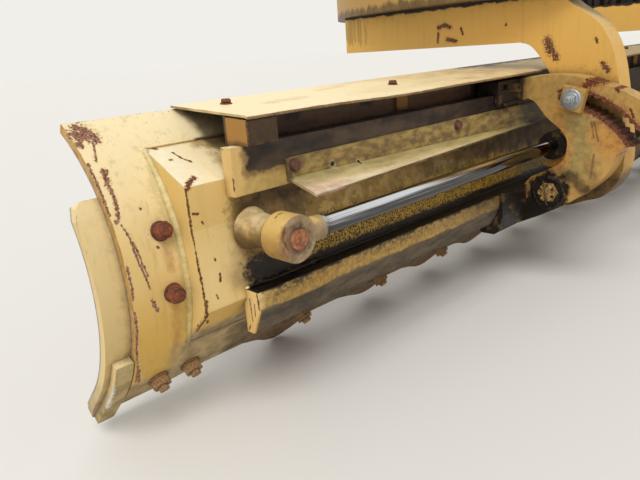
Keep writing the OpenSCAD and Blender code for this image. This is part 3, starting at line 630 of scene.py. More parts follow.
def stepped(corners, pitch, out):
    """Points every pitch millimetres along a broken line, how far along they lie, and two
    directions square to the line there: side = line x out, and line's own out = side x line."""
    corners = np.asarray(corners, float)
    s = np.concatenate([[0], np.cumsum(np.linalg.norm(np.diff(corners, axis=0), axis=1))])
    t = np.linspace(0, s[-1], max(int(s[-1] / pitch), 4))
    path = np.stack([np.interp(t, s, corners[:, i]) for i in range(3)], 1)
    along = np.gradient(path, axis=0)
    along = along / np.linalg.norm(along, axis=1)[:, None]
    side = np.cross(along, np.broadcast_to(np.asarray(out, float), path.shape))
    side /= np.linalg.norm(side, axis=1)[:, None]
    return path, t, side, np.cross(side, along)


def weld_line(corners, out, leg, seed, ripple=5):
    """A fillet weld: a round section carried along a broken line and swollen by ripples, radius =
    leg * (0.7 + 0.12 |sin(pi s / ripple)| + a slow swell); out is the way it bulges."""
    path, t, side, out = stepped(corners, ripple / 2.5, out)
    waves = np.random.default_rng(seed).normal(size=4)
    swell = sum(w * 0.04 * np.sin(t / (23 + 31 * i) + i) for i, w in enumerate(waves))
    size = leg * (0.7 + 0.12 * np.abs(np.sin(np.pi * t / ripple)) + swell)
    size[[0, -1]] *= 0.3
    return carried(path, side, out, size[:, None] * np.ones(8))


def packed_line(corners, out, width, seed, hang=0):
    """Grease pushed into a ragged roll: a round section carried along a broken line, radius =
    width * (0.5 + sums of seeded sines along and round it), and hanging lumps where a slow wave
    goes over a level."""
    path, t, side, out = stepped(corners, 3, out)
    rng = np.random.default_rng(seed)
    a = around(10)
    size = np.full((len(t), 10), 0.5)
    for length in (61, 29, 13, 7):
        phase, turn = rng.uniform(0, 6.28, 2)
        size += (0.12 + length / 400) * np.sin(t / length * 2.1 + phase)[:, None] * np.cos(
            (1 + 7 / length * 3) * a + turn)[None]
        size += 0.1 * np.sin(t / length * 3.3 + turn)[:, None]
    size = np.clip(size, 0.12, 1.3) * width
    waves = np.sin(t / 5 + rng.uniform(0, 6)) + np.sin(t / 13 + rng.uniform(0, 6))
    drops = np.clip(waves - 0.5, 0, 1) * hang
    down = -(side[:, None, 2] * np.cos(a)[None] + out[:, None, 2] * np.sin(a)[None])
    size = size + drops[:, None] * np.clip(down, 0, 1)
    size[[0, -1]] *= 0.3
    return carried(path, side, out, size)


def dome(middle, side, up, out, half_side, height):
    """A flat dome with a rounded square foot: superellipse |u|^4 + |v|^4 = r^4 for the rings,
    height falling as (1 - r^3)."""
    rings, spokes = 6, 20
    r = np.linspace(1, 0, rings)[:-1]
    a = around(spokes)
    reach = (np.abs(np.cos(a)) ** 4 + np.abs(np.sin(a)) ** 4) ** (-1 / 4)
    u, v = (r[:, None] * (reach * turn(a))[None] * half_side for turn in (np.cos, np.sin))
    h = np.broadcast_to(((1 - r ** 3) * height)[:, None], u.shape)
    side, up, out, middle = (np.asarray(q, float) for q in (side, up, out, middle))
    points = middle + u[..., None] * side + v[..., None] * up + h[..., None] * out
    points = np.concatenate([points.reshape(-1, 3), [middle + out * height], [middle - out * 0.5]])
    k = np.arange(spokes)
    tip, inner = np.full(spokes, len(points) - 2), (rings - 2) * spokes
    top = np.stack([tip, inner + k, inner + (k + 1) % spokes], -1)
    foot = np.stack([tip + 1, (k + 1) % spokes, k], -1)
    return points, tube_faces(rings - 1, spokes) + top.tolist() + foot.tolist()


def turned(at, axis, side, rings, sides=6, notches=0):
    """A closed bolt-like shape: rings stacked along its axis, each given as height, corner radius r
    and share h of polygon: radius = r (1 - h + h cos(pi / n) / cos b), b the angle from the middle
    of the polygon's side. Notches cut that share of the radius off within 11 degrees of it."""
    b = np.mod(around(72), 2 * np.pi / sides) - np.pi / sides
    height, radius, flat = np.array(rings, float).T[:, :, None]
    reach = radius * (1 - flat + flat * np.cos(np.pi / sides) / np.cos(b))
    reach = reach * (1 - notches * (np.abs(b) < math.radians(11)))
    axis, side = (np.broadcast_to(np.asarray(q, float) / np.linalg.norm(q), (len(rings), 3))
                  for q in (axis, side))
    return carried(np.asarray(at, float) + height * axis, side, np.cross(side, axis), reach)


# ---------------------------------------------------------------- settings
def colour_setting(name, description, colour):
    """A colour in a group of settings."""
    return FloatVectorProperty(name=name, description=description, subtype="COLOR", size=4, min=0,
                               max=1, default=linear(colour))


class PaintSettings(bpy.types.PropertyGroup):
    """Colours of the finishes."""
    # Bleached paint is the colour of faces that look up: sun chalking and painted light from above
    chalked_and_lit: colour_setting("Bleached paint", "Enamel where the sun has chalked it", "#F6E4B6")
    ochre: colour_setting("Ochre paint", "Enamel that is sheltered from the sun", "#D0A852")
    # The arms' sheltered ochre is lighter than the moldboard's: painted light that makes up for the
    # circle's shadow on them
    lit_arm_ochre: colour_setting("Shaded paint", "Sheltered enamel of the arms", "#D9AA55")
    old_rust: colour_setting("Old rust", "Dark scale on bolts", "#3E2018")
    fresh_rust: colour_setting("Fresh rust", "Bright bloom on bolts", "#7E4426")


class DeckSettings(bpy.types.PropertyGroup):
    """Sizes of the bent top deck."""
    wave: FloatProperty(name="Wave", description="How far the rear edge sags between its lugs",
                        unit="LENGTH", default=0.003, min=0, max=0.006)
    thickness: FloatProperty(name="Thickness", description="Thickness of the sheet",
                             unit="LENGTH", default=0.0042, min=0.003, max=0.009)


class StageSettings(bpy.types.PropertyGroup):
    """Camera, floor and lamps."""
    lens: FloatProperty(name="Lens", description="Focal length on a 36 mm wide sensor",
                        default=33.75, min=10, max=100)
    floor: colour_setting("Floor", "Colour of the plain floor", "#E6E4E0")
    key: FloatProperty(name="Key lamp", default=1.86, min=0, max=10,
                       description="Strength of the soft lamp overhead, in watts a square metre")
    even: FloatProperty(name="Even light", description="Strength of the light from all sides",
                        default=0.46, min=0, max=2)


# ---------------------------------------------------------------- pieces
class BLADE_OT_moldboard_paint(bpy.types.Operator):
    """Finish of the moldboard sheet, its box, rails, end bits and deflector"""
    bl_idname = "blade.moldboard_paint"
    bl_label = "Moldboard paint"

    def execute(self, context):
        look = context.scene.blade_paint
        light, deep = look.chalked_and_lit, look.ochre
        dress("moldboard_sheet", worn_paint("Chalked_enamel_sheet", light, deep, [
            Coat("#8A8450", "#AFA870", 1.2, 14, 0.3, 0.4,
                 lines=[(15, [(99, 440), (99, 330)]), (11, [(99, 330), (99, 170)])],
                 both_ends=True),
            Coat("#94602E", "#B98A4A", 0.6, 12, 0.45, 0.5,
                 lines=[(7, [(73, 336), (76, 292)]), (8, [(74, 236), (77, 168), (78, 138)])],
                 both_ends=True),
            # Painted shade high on the sheet under the deck, and low down further in than the
            # rails' ends
            shade_and_dirt(pale="#8A7048", share=0.7, end=(205, 240), z=(430, 476)),
            # Grey-brown towards the bottom of the sheet
            dust_and_shade(dark="#857557", pale="#B39E78", z=(156, 122), end=(20, 120)),
            dust_and_shade(dark="#857557", pale="#B39E78", z=(100, 72)),
            shade_and_dirt(share=0.7, end=(176, 226), z=(150, 130)),
            Coat("#8A5C30", "#B88A4A", 0.9, share=0.7, x=(1.5, 0.3)),
            Coat("#8E6A44", "#B58F58", 0.9, 50, 0.3, 0.7, stretch=(3, 1, 1), arc=(292, 288),
                 z=(520, 440)),
            polish(arc=(292, 288), z=(490, 420)),
            Coat("#7A5636", "#A07850", 1, 26, 0.3, 0.5, stretch=(2, 1, 1), arc=(292, 288),
                 z=(170, 90)),
            rust(dark="#5C3828", pale="#A97E66", ragged=1.2, halo="#D9B87C", lines=SHEET_RUST),
        ], chips=0.55, dirt_and_shade_in_nooks=0.35, nook=0.018))
        dress("back_box", worn_paint("Chalked_enamel_box", light, deep, [
            # Near white on the faces that look up by the box's end: a painted highlight
            Coat("#F0E2BC", "#F8F0DA", 0.5, 50, 0.5, 0.6, dull=0.1, up=(0.4, 0.8), end=(170, 130)),
            Coat("#8A6A34", "#B8924A", 0.9, 40, 0.4, 0.75, peep=(30, 0.55, 0.6), end=(176, 214)),
            Coat("#8E6430", "#C09244", 0.8, 12, 0.35, 0.6,
                 lines=[(26, [(228, -36, 330), (232, -38, 268)])], both_ends=True),
            # Painted shade high on the box beyond its end, and further along the box
            shade_and_dirt(share=0.8, end=(200, 250), z=(350, 384)),
            shade_and_dirt(grain=90, soft=0.5, share=0.9, end=(480, 960)),
            Coat("#8A6812", "#BE942C", soft=0.3, share=0.8, end=(262, 330), z=(330, 300)),
            grease(grain=34, soft=0.25, share=0.92, stretch=(1.6, 1, 1), peep=(4.2, 0.49, 0.97),
                   end=(250, 330), z=(334, 288)),
            # Dirt and painted shade by the eye: above the lower rail and below the upper rail
            shade_and_dirt(dark="#4E3A22", pale="#80602F", ragged=0.5, grain=34, soft=0.5, share=0.75,
                 lines=[(44, [(218, -40, 262), (262, -40, 254)])], both_ends=True),
            shade_and_dirt(dark="#3A2C1E", pale="#6E5636", grain=14, share=0.75,
                 lines=[(34, [(214, -36, 366), (262, -34, 366), (330, -32, 352)])],
                 both_ends=True),
            grease(ragged=0.7, grain=14, soft=0.2,
                   lines=[(26, [(216, -40, 256), (262, -40, 250)]),
                          (20, [(262, -40, 248), (320, -40, 240)]),
                          (8, [(320, -41, 236), (1829, -41, 235)])], both_ends=True),
            # Grey-brown low on the box: painted shade on its lower facet
            dust_and_shade(z=(182, 150)),
            rust(dark="#452A18", pale="#80542F", ragged=1.25, halo="#C79C58", lines=BOX_RUST),
        ], chips=0.35, film=0.12, dirt_and_shade_in_nooks=0.35, nook=0.018, bend_radius=0.007))
        dress("upper_rail", worn_paint("Mottled_enamel_rail", light, "#C99F4F", [
            Coat("#86713A", "#B39A55", 0.9, 16, 0.3, 0.45, end=(186, 215)),
            # Painted shade: darker from 240 mm in, higher up under the deck from the rail's end,
            # near black towards the bracket
            shade_and_dirt(soft=0.5, share=0.7, end=(240, 380)),
            Coat("#5C432A", "#8A6A3C", 1.1, 20, 0.35, 0.7, end=(190, 212), z=(410, 430)),
            shade_and_dirt(dark="#1A1517", pale="#4A3A2E", ragged=1.3, grain=26, soft=0.22, share=0.95,
                 coarse=40, stretch=(2.2, 1, 1), end=(192, 216), z=(416, 444)),
            shade_and_dirt(dark="#0F0C0B", pale="#2A2019", share=0.97, end=(700, 960)),
            rust(lines=[(1.5, [(178, -54, 423), (178, -54, 403)]),
                        (1.4, [(178, -34, 470), (190, -34, 473)])]),
        ], chips=0.4))
        dress("lower_rail", worn_paint("Mottled_enamel_low_rail", light, "#CBA04A", [
            Coat("#5A4218", "#B08830", 0.8, 15, 0.4, 0.6, coarse=8, end=(187, 204)),
            # Painted shade high on the rail from near its end on, and all over further in
            shade_and_dirt(ragged=1.1, grain=30, soft=0.4, share=0.8, stretch=(3, 1, 1),
                 peep=(6, 0.5, 0.8), end=(200, 260), z=(190, 232)),
            shade_and_dirt(soft=0.5, share=0.7, end=(700, 1000)),
            # Dark grey on the rail's lower, down-turned face: painted shade
            dust_and_shade(dark="#3A3532", pale="#625748", ragged=0.8, grain=26, soft=0.25,
                      share=0.93, stretch=(2.5, 1, 1), z=(200, 186), end=(188.5, 192)),
            grease(ragged=0.9, grain=12, soft=0.25, stretch=(2, 1, 1), z=(219, 231),
                   end=(187, 200)),
            grease(ragged=0.2, up=(0.5, 0.8)),
            rust(lines=[(1.2, [(186, -50, 212), (186, -52, 172)]),
                        (1, [(186, -62, 204), (186, -61, 182)]),
                        (1.6, [(186, -72, 226), (186, -74, 196)]),
                        (1.4, [(186, -44, 160), (186, -38, 150)])]),
        ], chips=0.45))
        dress("end_bits", worn_paint("Dusty_enamel_end_bit", "#EAD5A4", "#D3B77C", [
            # Grey-brown low on the end bits and on their pad
            dust_and_shade(soft=0.5, share=0.7, z=(130, 20)),
            dust_and_shade(dark="#8C7850", pale="#B8A372", share=0.8, arc=(299, 301), z=(170, 150)),
            Coat("#B9B4A4", "#E2DECF", 1, 8, 0.15, 0.85,
                 lines=[(4, [(-34, 52, 105), (-34, 68, 83), (-32, 86, 62), (-30, 108, 40)])]),
            polish(share=0.85, arc=(273, 269)),
            rust(lines=[(2.2, [(-44, 16, 222), (-44, 18, 200)]),
                        (2.5, [(-40, 112, 10), (-44, 120, -6)])]),
        ], chips=0.35, film=0.15))
        dress("deflector", worn_paint("Chalked_enamel_deflector", "#E3CB9A", "#9C8046", [
            Coat("#8A7E4A", "#A99A62", 0.8, 26, 0.5, 0.85, stretch=(4, 1, 1), y=(-112, -70),
                 up=(0.3, 0.6)),
            Coat("#C9B58C", "#F2E4C2", 0.8, 16, 0.4, 0.7, stretch=(6, 1, 1), y=(-92, -118),
                 up=(0.4, 0.7)),
            Coat("#5E4A30", "#A38A4C", 0.9, 22, 0.3, 0.85, stretch=(2, 1, 1),
                 forward=(-0.4, -0.8)),
            Coat("#C8977E", "#E8CDB8", 0.7, 22, 0.4, 0.7,
                 lines=[(34, [(300, -126, 380), (350, -126, 378)])]),
            # Painted shade on the faces that look down
            shade_and_dirt(up=(-0.1, -0.5)),
            # Near black from 800 mm along towards the bracket: painted shade
            Coat("#241C17", "#46372A", 1, 30, 0.4, 0.85, stretch=(4, 1, 1), x=(800, 1360)),
            Coat("#3A2C20", "#5E4A34", 1.1, 12, 0.25, 0.7,
                 lines=[(9, [(290, -62, 378), (290, -62, 436)])]),
            Coat("#B0A478", "#DCD2AC", 1.1, 5, 0.3, 0.6,
                 lines=[(6.4, [(399, 0, 408), (401, 0, 407)]),
                        (5, [(469, 0, 400), (471, 0, 400)])], squash=(1, 0, 1)),
            Coat("#120E0C", "#2A201A", 0.3, soft=0.1, raised=-0.6,
                 lines=[(4.6, [(398, 0, 409), (399, 0, 409)]),
                        (3.4, [(469, 0, 401), (470, 0, 401)])], squash=(1, 0, 1)),
        ], chips=0.5, bend_radius=0.012))
        dress("deck_lugs", worn_paint("Enamel_lug", "#B88C48", "#966A30", [
            # Painted shade on the lugs' rear faces and low down under the deck
            shade_and_dirt(dark="#15100C", pale="#33271C", ragged=0.4, soft=0.3, y=(-72.5, -75)),
            shade_and_dirt(share=0.6, z=(486, 474)),
            rust(lines=[(1.8, [(200, -75, 516), (200, -75, 478)]),
                        (1.6, [(200, -2, 516), (200, -3, 486)])]),
        ], chips=0.9))
        return {"FINISHED"}


class BLADE_OT_carrier_paint(bpy.types.Operator):
    """Finish of the circle, arms, tilt brackets and side shift cylinder"""
    bl_idname = "blade.carrier_paint"
    bl_label = "Arms and circle paint"

    def execute(self, context):
        lit_arm_ochre = context.scene.blade_paint.lit_arm_ochre
        # A lighter ochre on the arms: painted light against the circle's shadow
        dress("gooseneck_arms", worn_paint("Ochre_enamel_arm", "#E2CA94", lit_arm_ochre, [
            Coat("#A8763A", "#C09048", 0.7, 50, 0.5, 0.35, z=(460, 330)),
            Coat("#7A6638", "#95804A", 1.4, 8, 0.2, 0.55, stretch=(1, 1, 16), y=(470, 590),
                 z=(610, 640)),
            grease(ragged=1.1, grain=34, soft=0.2, z=(690, 700)),
            # Painted shade low on the arms
            shade_and_dirt(share=0.9, z=(300, 236)),
            rust(ragged=1.2, halo="#A8702F", lines=ARM_RUST),
        ], chips=0.3, film=0.18, sun=(0.1, 1.1)))
        dress("tilt_brackets", worn_paint("Ochre_enamel_bracket", "#D8B470", "#B58A44", [
            Coat("#8A6C3A", "#B08C4E", 1.2, 24, 0.5, 0.6, z=(300, 500)),
            Coat("#7E7244", "#A29662", 0.8, 26, 0.4, 0.65,
                 lines=[(46, [(0, -222, 405), (0, -205, 290)])], squash=THROUGH),
            Coat("#A8642A", "#CC9048", 0.7, 22, 0.45, 0.65,
                 lines=[(17, THROAT), (26, [(0, -262, 372), (0, -300, 340)]),
                        (22, [(0, -196, 452), (0, -170, 430)])], squash=THROUGH),
            Coat("#6A4A2C", "#97743E", 1, 16, 0.4, 0.6,
                 lines=[(16, [(0, -250, 290), (0, -262, 240), (0, -230, 210)]),
                        (18, [(0, -166, 276), (0, -182, 262)])], squash=THROUGH),
            # Painted shade along the creases
            Coat("#54402A", "#7E623A", 0.5, 7, 0.3, 0.75, lines=BRACKET_CREASE_SHADE, squash=THROUGH),
            # Painted shade towards the blade, low down and in the throat
            shade_and_dirt(share=0.94, y=(-84, -40)),
            shade_and_dirt(share=0.9, z=(212, 158)),
            shade_and_dirt(share=0.8, lines=[(17, [(0, -196, 262), (0, -236, 236)])], squash=THROUGH),
            grease(ragged=0.3,
                   lines=[(52, [(0, -149, 218), (0, -143, 214)]),
                          (34, [(0, -110, 170), (0, -60, 140)])], squash=THROUGH),
            Coat("#8A5A30", "#B8854A", 1.1, 10, 0.4, 0.6,
                 lines=[(13, edge) for edge in SLOT_EDGES], squash=THROUGH),
            Coat("#3C2618", "#6E4A30", 0.25, 8, 0.08, dull=0.2,
                 lines=[(SLOT_W / 2 + 1.5, SLOT_MIDDLE)], squash=THROUGH),
            rust(dark="#3A2018", pale="#8A5238", ragged=1.1, grain=5, coarse=5,
                 lines=[(4.6, edge) for edge in SLOT_EDGES], squash=THROUGH),
            rust(dark="#3A1E12", pale="#7E4428", halo="#B07838", lines=BRACKET_RUST,
                 squash=THROUGH),
        ], chips=0.45))
        dress("shift_barrel", worn_paint("Ochre_enamel_barrel", "#CFA85B", "#A98040", [
            # Painted shade low on the barrel and towards its left end
            shade_and_dirt(soft=0.5, share=0.75, z=(345, 310)),
            shade_and_dirt(share=0.9, x=(1300, 1180)),
        ], chips=0.6))
        dress("barrel_tail", worn_paint("Ochre_enamel_tail", "#CFA85B", "#A98040", [
            # Painted shade towards the tail's right end
            shade_and_dirt(share=0.8, x=(2420, 2500)),
        ], chips=0.7))
        dress("circle_ring", worn_paint("Smeared_enamel_circle", "#A88C52", "#B58C46", [
            Coat("#4E4234", "#86714A", 0.8, 60, 0.4, 0.8, up=(0.3, 0.7)),
            # Dark upright streaks low on the ring
            shade_and_dirt(ragged=1, grain=30, share=0.75, stretch=(1, 1, 6), z=(736, 708)),
            grease(grain=34, coarse=16, hub=(742, 722)),
        ], chips=0.7))
        dress("shift_rod", chromed_rod([
            # Darker brown low on the eye: painted shade
            Coat("#7E5E38", "#B0884C", 0.8, 14, 0.4, 0.5, z=(356, 316)),
            dust_and_shade(dark="#80705A", pale="#A5957C", ragged=0.5, grain=12, share=0.75,
                      forward=(-0.6, -0.9)),
            Coat("#8A5430", "#B5803F", 0.8, 7, 0.25, 0.6,
                 lines=[(7, [(186, -160, 350), (182, -160, 331), (186, -160, 310)])]),
            Coat("#4A3226", "#7A5A46", 0.4, 9, 0.2, 0.85,
                 lines=[(27, [(214, -162, 331), (212, -162, 330)])]),
            Coat("#3E2C20", "#6A4C34", 1, 6, 0.12, 0.8,
                 lines=[(2.2, [(188, -160, 356), (182, -158, 340), (190, -159, 322)]),
                        (1.6, [(196, -128, 366), (214, -126, 370)]),
                        (2, [(228, -160, 304), (240, -160, 316)])]),
            dust_and_shade(share=0.6, x=(262, 276)),
        ]))
        dress("rod_stud", worn_paint("Greasy_enamel_stud", "#A8864A", "#876838", [
            Coat("#5A4228", "#94743F", 1, 12, 0.3, 0.7, y=(-96, -84)),
            # Painted shade low on the stud
            shade_and_dirt(share=0.8, z=(344, 318)),
            Coat("#8A6A3C", "#C2A266", 0.8, 12, 0.4, 0.8, y=(-140, -120)),
            Coat("#7A4A30", "#B47A50", 0.5, 9, 0.15, coarse=8, y=(-150, -156)),
        ], chips=0.5))
        return {"FINISHED"}


class BLADE_OT_bare_steel(bpy.types.Operator):
    """Finish of bolts, nuts, edges, shoes and the rod's gland"""
    bl_idname = "blade.bare_steel"
    bl_label = "Bare and greased steel"

    def execute(self, context):
        for node, name, dark, bright, more in (
                ("deflector_bolts", "Rusted_small_bolt_steel", "#38211A", "#6E4636",
                 {"bloom": "#7A5040", "dust": 0.35}),
                ("edge_nuts", "Rusted_nut_steel", "#644529", "#A88658",
                 {"bloom": "#A5713E", "dust": 0.6}),
                ("cutting_edges", "Worn_edge_steel", "#5A4836", "#8A7052",
                 {"bloom": "#96643A", "dust": 0.45, "grain": 9})):
            dress(node, rusted_steel(name, dark, bright, **more))
        greased = old_grease("Greased_shoe_steel")
        for node in ("upper_shoes", "lower_shoes", "shift_gland"):
            dress(node, greased)
        return {"FINISHED"}


class BLADE_OT_deck(bpy.types.Operator):
    """Bent sheet metal deck and the web below it, dark with painted shade, in place of the plain
    ones
    """
    bl_idname = "blade.deck"
    bl_label = "Top deck"

    def execute(self, context):
        size = context.scene.blade_deck
        (x0, y0, foot), (x1, y1, top) = blade_box("deck_plate")
        thick, wave_size = size.thickness / MM, size.wave / MM
        lip, lip_drop = 12, 2

        def height(x, y):
            """Slope line plus waves that grow towards the rear edge, less a lip rolled down
            behind."""
            rear = np.clip((y1 - y) / (y1 - y0), 0, 1) ** 2
            wave = wave_size * (np.sin(x / 131) * 0.45 + np.sin(x / 61 + 1.3) * 0.25
                                + np.sin(x / 353 + 2) * 0.5)
            rolled = np.clip((y0 + lip - y) / lip, 0, 1) ** 2 * lip_drop
            return top - (y1 - y) * DECK_SLOPE + rear * wave - rolled

        u = np.linspace(x0, x1, 240)
        v = np.concatenate([np.linspace(y0, y0 + lip, 5), np.linspace(y0 + 20, y1, 14)])
        x, y = np.meshgrid(u, v, indexing="ij")
        upper = np.stack([x, y, height(x, y)], -1)
        skin = np.concatenate([upper, (upper - np.array([0, 0, thick]))[:, ::-1]], 1)
        # The web: a flat bar whose face bows by 0.8 sin(x / 170)
        count = 60
        wx = np.linspace(x0 + 13, x1 - 13, count)
        under = height(wx, 3) - thick + 1
        low_edge = np.full(count, foot + 10)
        web = np.stack([np.broadcast_to(wx[:, None], (count, 4)),
                        np.array([0, 6, 6, 0]) + np.sin(wx / 170)[:, None] * 0.8,
                        np.stack([low_edge, low_edge - 0.5, under, under], 1)], -1)
        paint = worn_paint("Chalked_enamel_deck", context.scene.blade_paint.chalked_and_lit, "#A98245", [
            Coat("#C79C5C", "#DDBE84", 1, 30, 0.45, 0.5,
                 lines=[(14, [(330, 20, 528), (420, 30, 528)]),
                        (10, [(520, 90, 528), (600, 96, 528)])], both_ends=True),
            # Painted shade on the deck's underside and further in towards the middle
            shade_and_dirt(up=(0.2, -0.3)),
            Coat("#C29C5C", "#DFC28A", 0.9, 70, 0.5, 0.6, stretch=(3, 1, 1), end=(360, 1100)),
            shade_and_dirt(ragged=0.9, grain=90, soft=0.5, share=0.55, end=(820, 1500)),
            # A black strip along the deck's front part, from 1150 mm in from each end to the middle
            grease(ragged=0.8, grain=40, lines=[(40, [(1150, 150, 525), (1829, 150, 528)])],
                   both_ends=True),
            rust(ragged=1.3, grain=16, share=0.7, y=(-75.6, -77.9)),
        ], chips=0.6, film=0.1, sun=(-0.4, 0.6))
        # The web's dark browns are painted shade under the deck; from 860 mm in it goes near black,
        # also painted shade
        web_in_shade = worn_paint("Sooty_enamel_web", "#6E5740", "#5C4834", [
            Coat("#42261C", "#6E4632", 1, 15, 0.3, 0.6, stretch=(9, 1, 1), z=(506, 484)),
            Coat("#1E1714", "#33271E", 0.9, 20, 0.3, 0.85,
                 lines=[(15, [(352, 0, 508), (372, 0, 506)]),
                        (12, [(560, 0, 506), (580, 0, 505)])], both_ends=True),
            grease(dark="#1A181B", pale="#3A322E", grain=40, soft=0.25, share=0.9, z=(484, 462),
                   end=(205, 214)),
            shade_and_dirt(dark="#15110F", pale="#2A221B", share=0.9, end=(860, 1000)),
        ], chips=0.3)
        for name, shape, finish in (("deck_sheet", skin, paint), ("deck_web", web, web_in_shade)):
            n, m = shape.shape[:2]
            caps = [list(range(m))[::-1], [(n - 1) * m + i for i in range(m)]]
            piece(name, [(shape.reshape(-1, 3), tube_faces(n, m) + caps)], finish, "blade",
                  "deck_plate", smooth=False)
        bolts = []
        for x_in, y in DECK_BOLTS:
            for end in ENDS:
                x = from_end(x_in, end)
                at, turn = (x, y, float(height(x, y)) - 0.4), (math.cos(x), math.sin(x), 0)
                bolts += [turned(at, (0, -DECK_SLOPE, 1), turn, rings, **more)
                          for rings, more in DECK_BOLT]
        steel = rusted_steel("Rusted_deck_bolt", "#472A1E", "#84553A", dust=0.3)
        piece("deck_bolt_heads", bolts, steel, "blade", "deck_bolts")
        return {"FINISHED"}


class BLADE_OT_welds(bpy.types.Operator):
    """Weld beads along the box and its rails"""
    bl_idname = "blade.welds"
    bl_label = "Welds"

    def execute(self, context):
        look = context.scene.blade_paint
        parts = []
        # Start, way the bead bulges and leg of the beads along the blade
        for seed, ((x, y, z), out, leg) in enumerate((
                ((BOX_END_X, float(back_y(BOX_TOP_Z)), BOX_TOP_Z + 1), (0, -0.6, 0.8), 3.4),
                ((BOX_END_X, float(back_y(BOX_LOW_Z)), BOX_LOW_Z - 1), (0, -0.7, -0.7), 4.6),
                (UPPER_RAIL, (0, -0.7, -0.7), 3.6), (LOWER_RAIL, (0, -0.7, 0.7), 3.6)), 3):
            parts.append(weld_line([(x, y, z), (BLADE_LEN - x, y, z)], out, leg, seed))
        # Wider beads up the box's ends
        z = np.linspace(BOX_LOW_Z, BOX_TOP_Z, 30)
        for seed, end in enumerate(ENDS, 8):
            root = np.stack([np.full(30, from_end(BOX_END_X, end) + end), back_y(z), z], 1)
            parts.append(weld_line(root, (end * 0.7, -0.7, 0), 8.5, seed, 9))
        paint = worn_paint("Painted_weld", look.chalked_and_lit, look.ochre, [
            Coat("#9A9460", "#C9C290", 1.2, 14, 0.3, 0.5, end=(112, 106)),
            # Painted shade on the welds above the box's low edge, further in than the rails' ends
            shade_and_dirt(end=(186, 214), z=(150, 170)),
            dust_and_shade(z=(168, 140)),
            grease(end=(186, 200), z=(262, 244, 190, 210)),
        ], chips=0.1, dirt_and_shade_in_nooks=0.2, nook=0.01)
        piece("weld_beads", parts, paint, "blade")
        return {"FINISHED"}


class BLADE_OT_stud_collar(bpy.types.Operator):
    """Thick fillet weld round the foot of the rod's stud"""
    bl_idname = "blade.stud_collar"
    bl_label = "Stud collar"

    def execute(self, context):
        look = context.scene.blade_paint
        (x0, _, z0), (x1, _, z1) = blade_box("rod_stud")
        x, z = (x0 + x1) / 2, (z0 + z1) / 2
        points, faces = turned((x, -41.5, z), (0, -1, 0), (1, 0, 0), STUD_COLLAR)
        # Lumps of the weld's passes: each point moves off the stud's axis by up to 0.65 mm
        turn = np.arctan2(points[:, 2] - z, points[:, 0] - x)
        lump = 0.4 * np.sin(5 * turn + points[:, 1] * 0.15) + 0.25 * np.sin(
            13 * turn - points[:, 1] * 0.4)
        points = points + lump[:, None] * np.stack([np.cos(turn), 0 * turn, np.sin(turn)], 1)
        paint = worn_paint("Greasy_weld_enamel", look.chalked_and_lit, look.ochre, [
            Coat("#6E5230", "#9C7A3E", 0.4, 22, 0.5, 0.95, coarse=16, z=(700, 100)),
            # Painted shade low on the collar
            shade_and_dirt(ragged=0.8, grain=20, soft=0.4, share=0.85, z=(356, 306)),
        ], chips=0, dirt_and_shade_in_nooks=0.6, nook=0.03)
        piece("stud_collar", [(points, faces)], paint, "blade")
        return {"FINISHED"}


class BLADE_OT_plow_bolts(bpy.types.Operator):
    """Domed bolt heads in the front of the cutting edges"""
    bl_idname = "blade.plow_bolts"
    bl_label = "Plow bolt heads"

    def execute(self, context):
        # The bolts stand square on the front arc, this many degrees below the level of its centre
        low = math.radians(41.5)
        out = np.array([0, math.cos(low), math.sin(low)])
        down = np.array([0, math.sin(low), -math.cos(low)])
        front = BACK_R - SHEET_T - EDGE_T
        y, z = BACK_R - front * math.cos(low), ARC_Z - front * math.sin(low)
        places = list(BIT_BOLT_X) + [FIRST_BOLT_X + i * BOLT_PITCH for i in range(HALF_BOLTS)]
        parts = [dome((from_end(x, end), y, z), (1, 0, 0), down, out, 15, 5)
                 for end in ENDS for x in places]
        steel = rusted_steel("Scuffed_bolt_head", context.scene.blade_paint.old_rust, "#8C7A66", 4,
                             rough=0.6)
        piece("plow_bolt_heads", parts, steel, "blade")
        return {"FINISHED"}


class BLADE_OT_nuts(bpy.types.Operator):
    """Back bolts with nuts, flanged clamp nuts on their blocks and castle nuts of the pivots"""
    bl_idname = "blade.nuts"
    bl_label = "Nuts of the back, clamps and pivots"

    def execute(self, context):
        look = context.scene.blade_paint
        backs, clamps, pivots = [], [], []
        swing = math.radians(CLAMP_DEG)
        clamp_y, clamp_z = PIVOT_Y + SLOT_R * math.cos(swing), PIVOT_Z + SLOT_R * math.sin(swing)
        corner = (0, math.cos(swing + math.pi / 4), math.sin(swing + math.pi / 4))
        for end in ENDS:
            away, bracket = (end, 0, 0), MID_X + end * BRACKET_X
            for x_in, z in BACK_BOLTS:
                y = float(back_y(z))
                axis = np.array([0, y - BACK_R, z - ARC_Z]) / BACK_R
                backs += [turned((from_end(x_in, end), y, z), axis, (1, 0, 0), rings, **more)
                          for rings, more in BACK_NUT]
            at = (bracket + end * CLAMP_GAP, clamp_y, clamp_z)
            clamps += [turned(at, away, corner, rings, **more) for rings, more in CLAMP_NUT]
            at = (bracket, PIVOT_Y, PIVOT_Z)
            pivots += [turned(at, away, (0, 1, 0), rings, **more) for rings, more in CASTLE_NUT]
        rusty = rusted_steel("Rusted_bolt_steel", look.old_rust, look.fresh_rust, dust=0.08)
        oily = rusted_steel("Oily_nut_steel", "#5A4222", "#BE985A", 5, "#A87A40", 0.3)
        piece("back_nuts", backs, rusty, "blade", "back_bolts", smooth=False)
        piece("clamp_nuts", clamps, plated_bolt(), "circle", "clamp_bolts",
              smooth=False)
        piece("castle_nuts", pivots, oily, "circle", "pivot_pins", smooth=False)
        return {"FINISHED"}


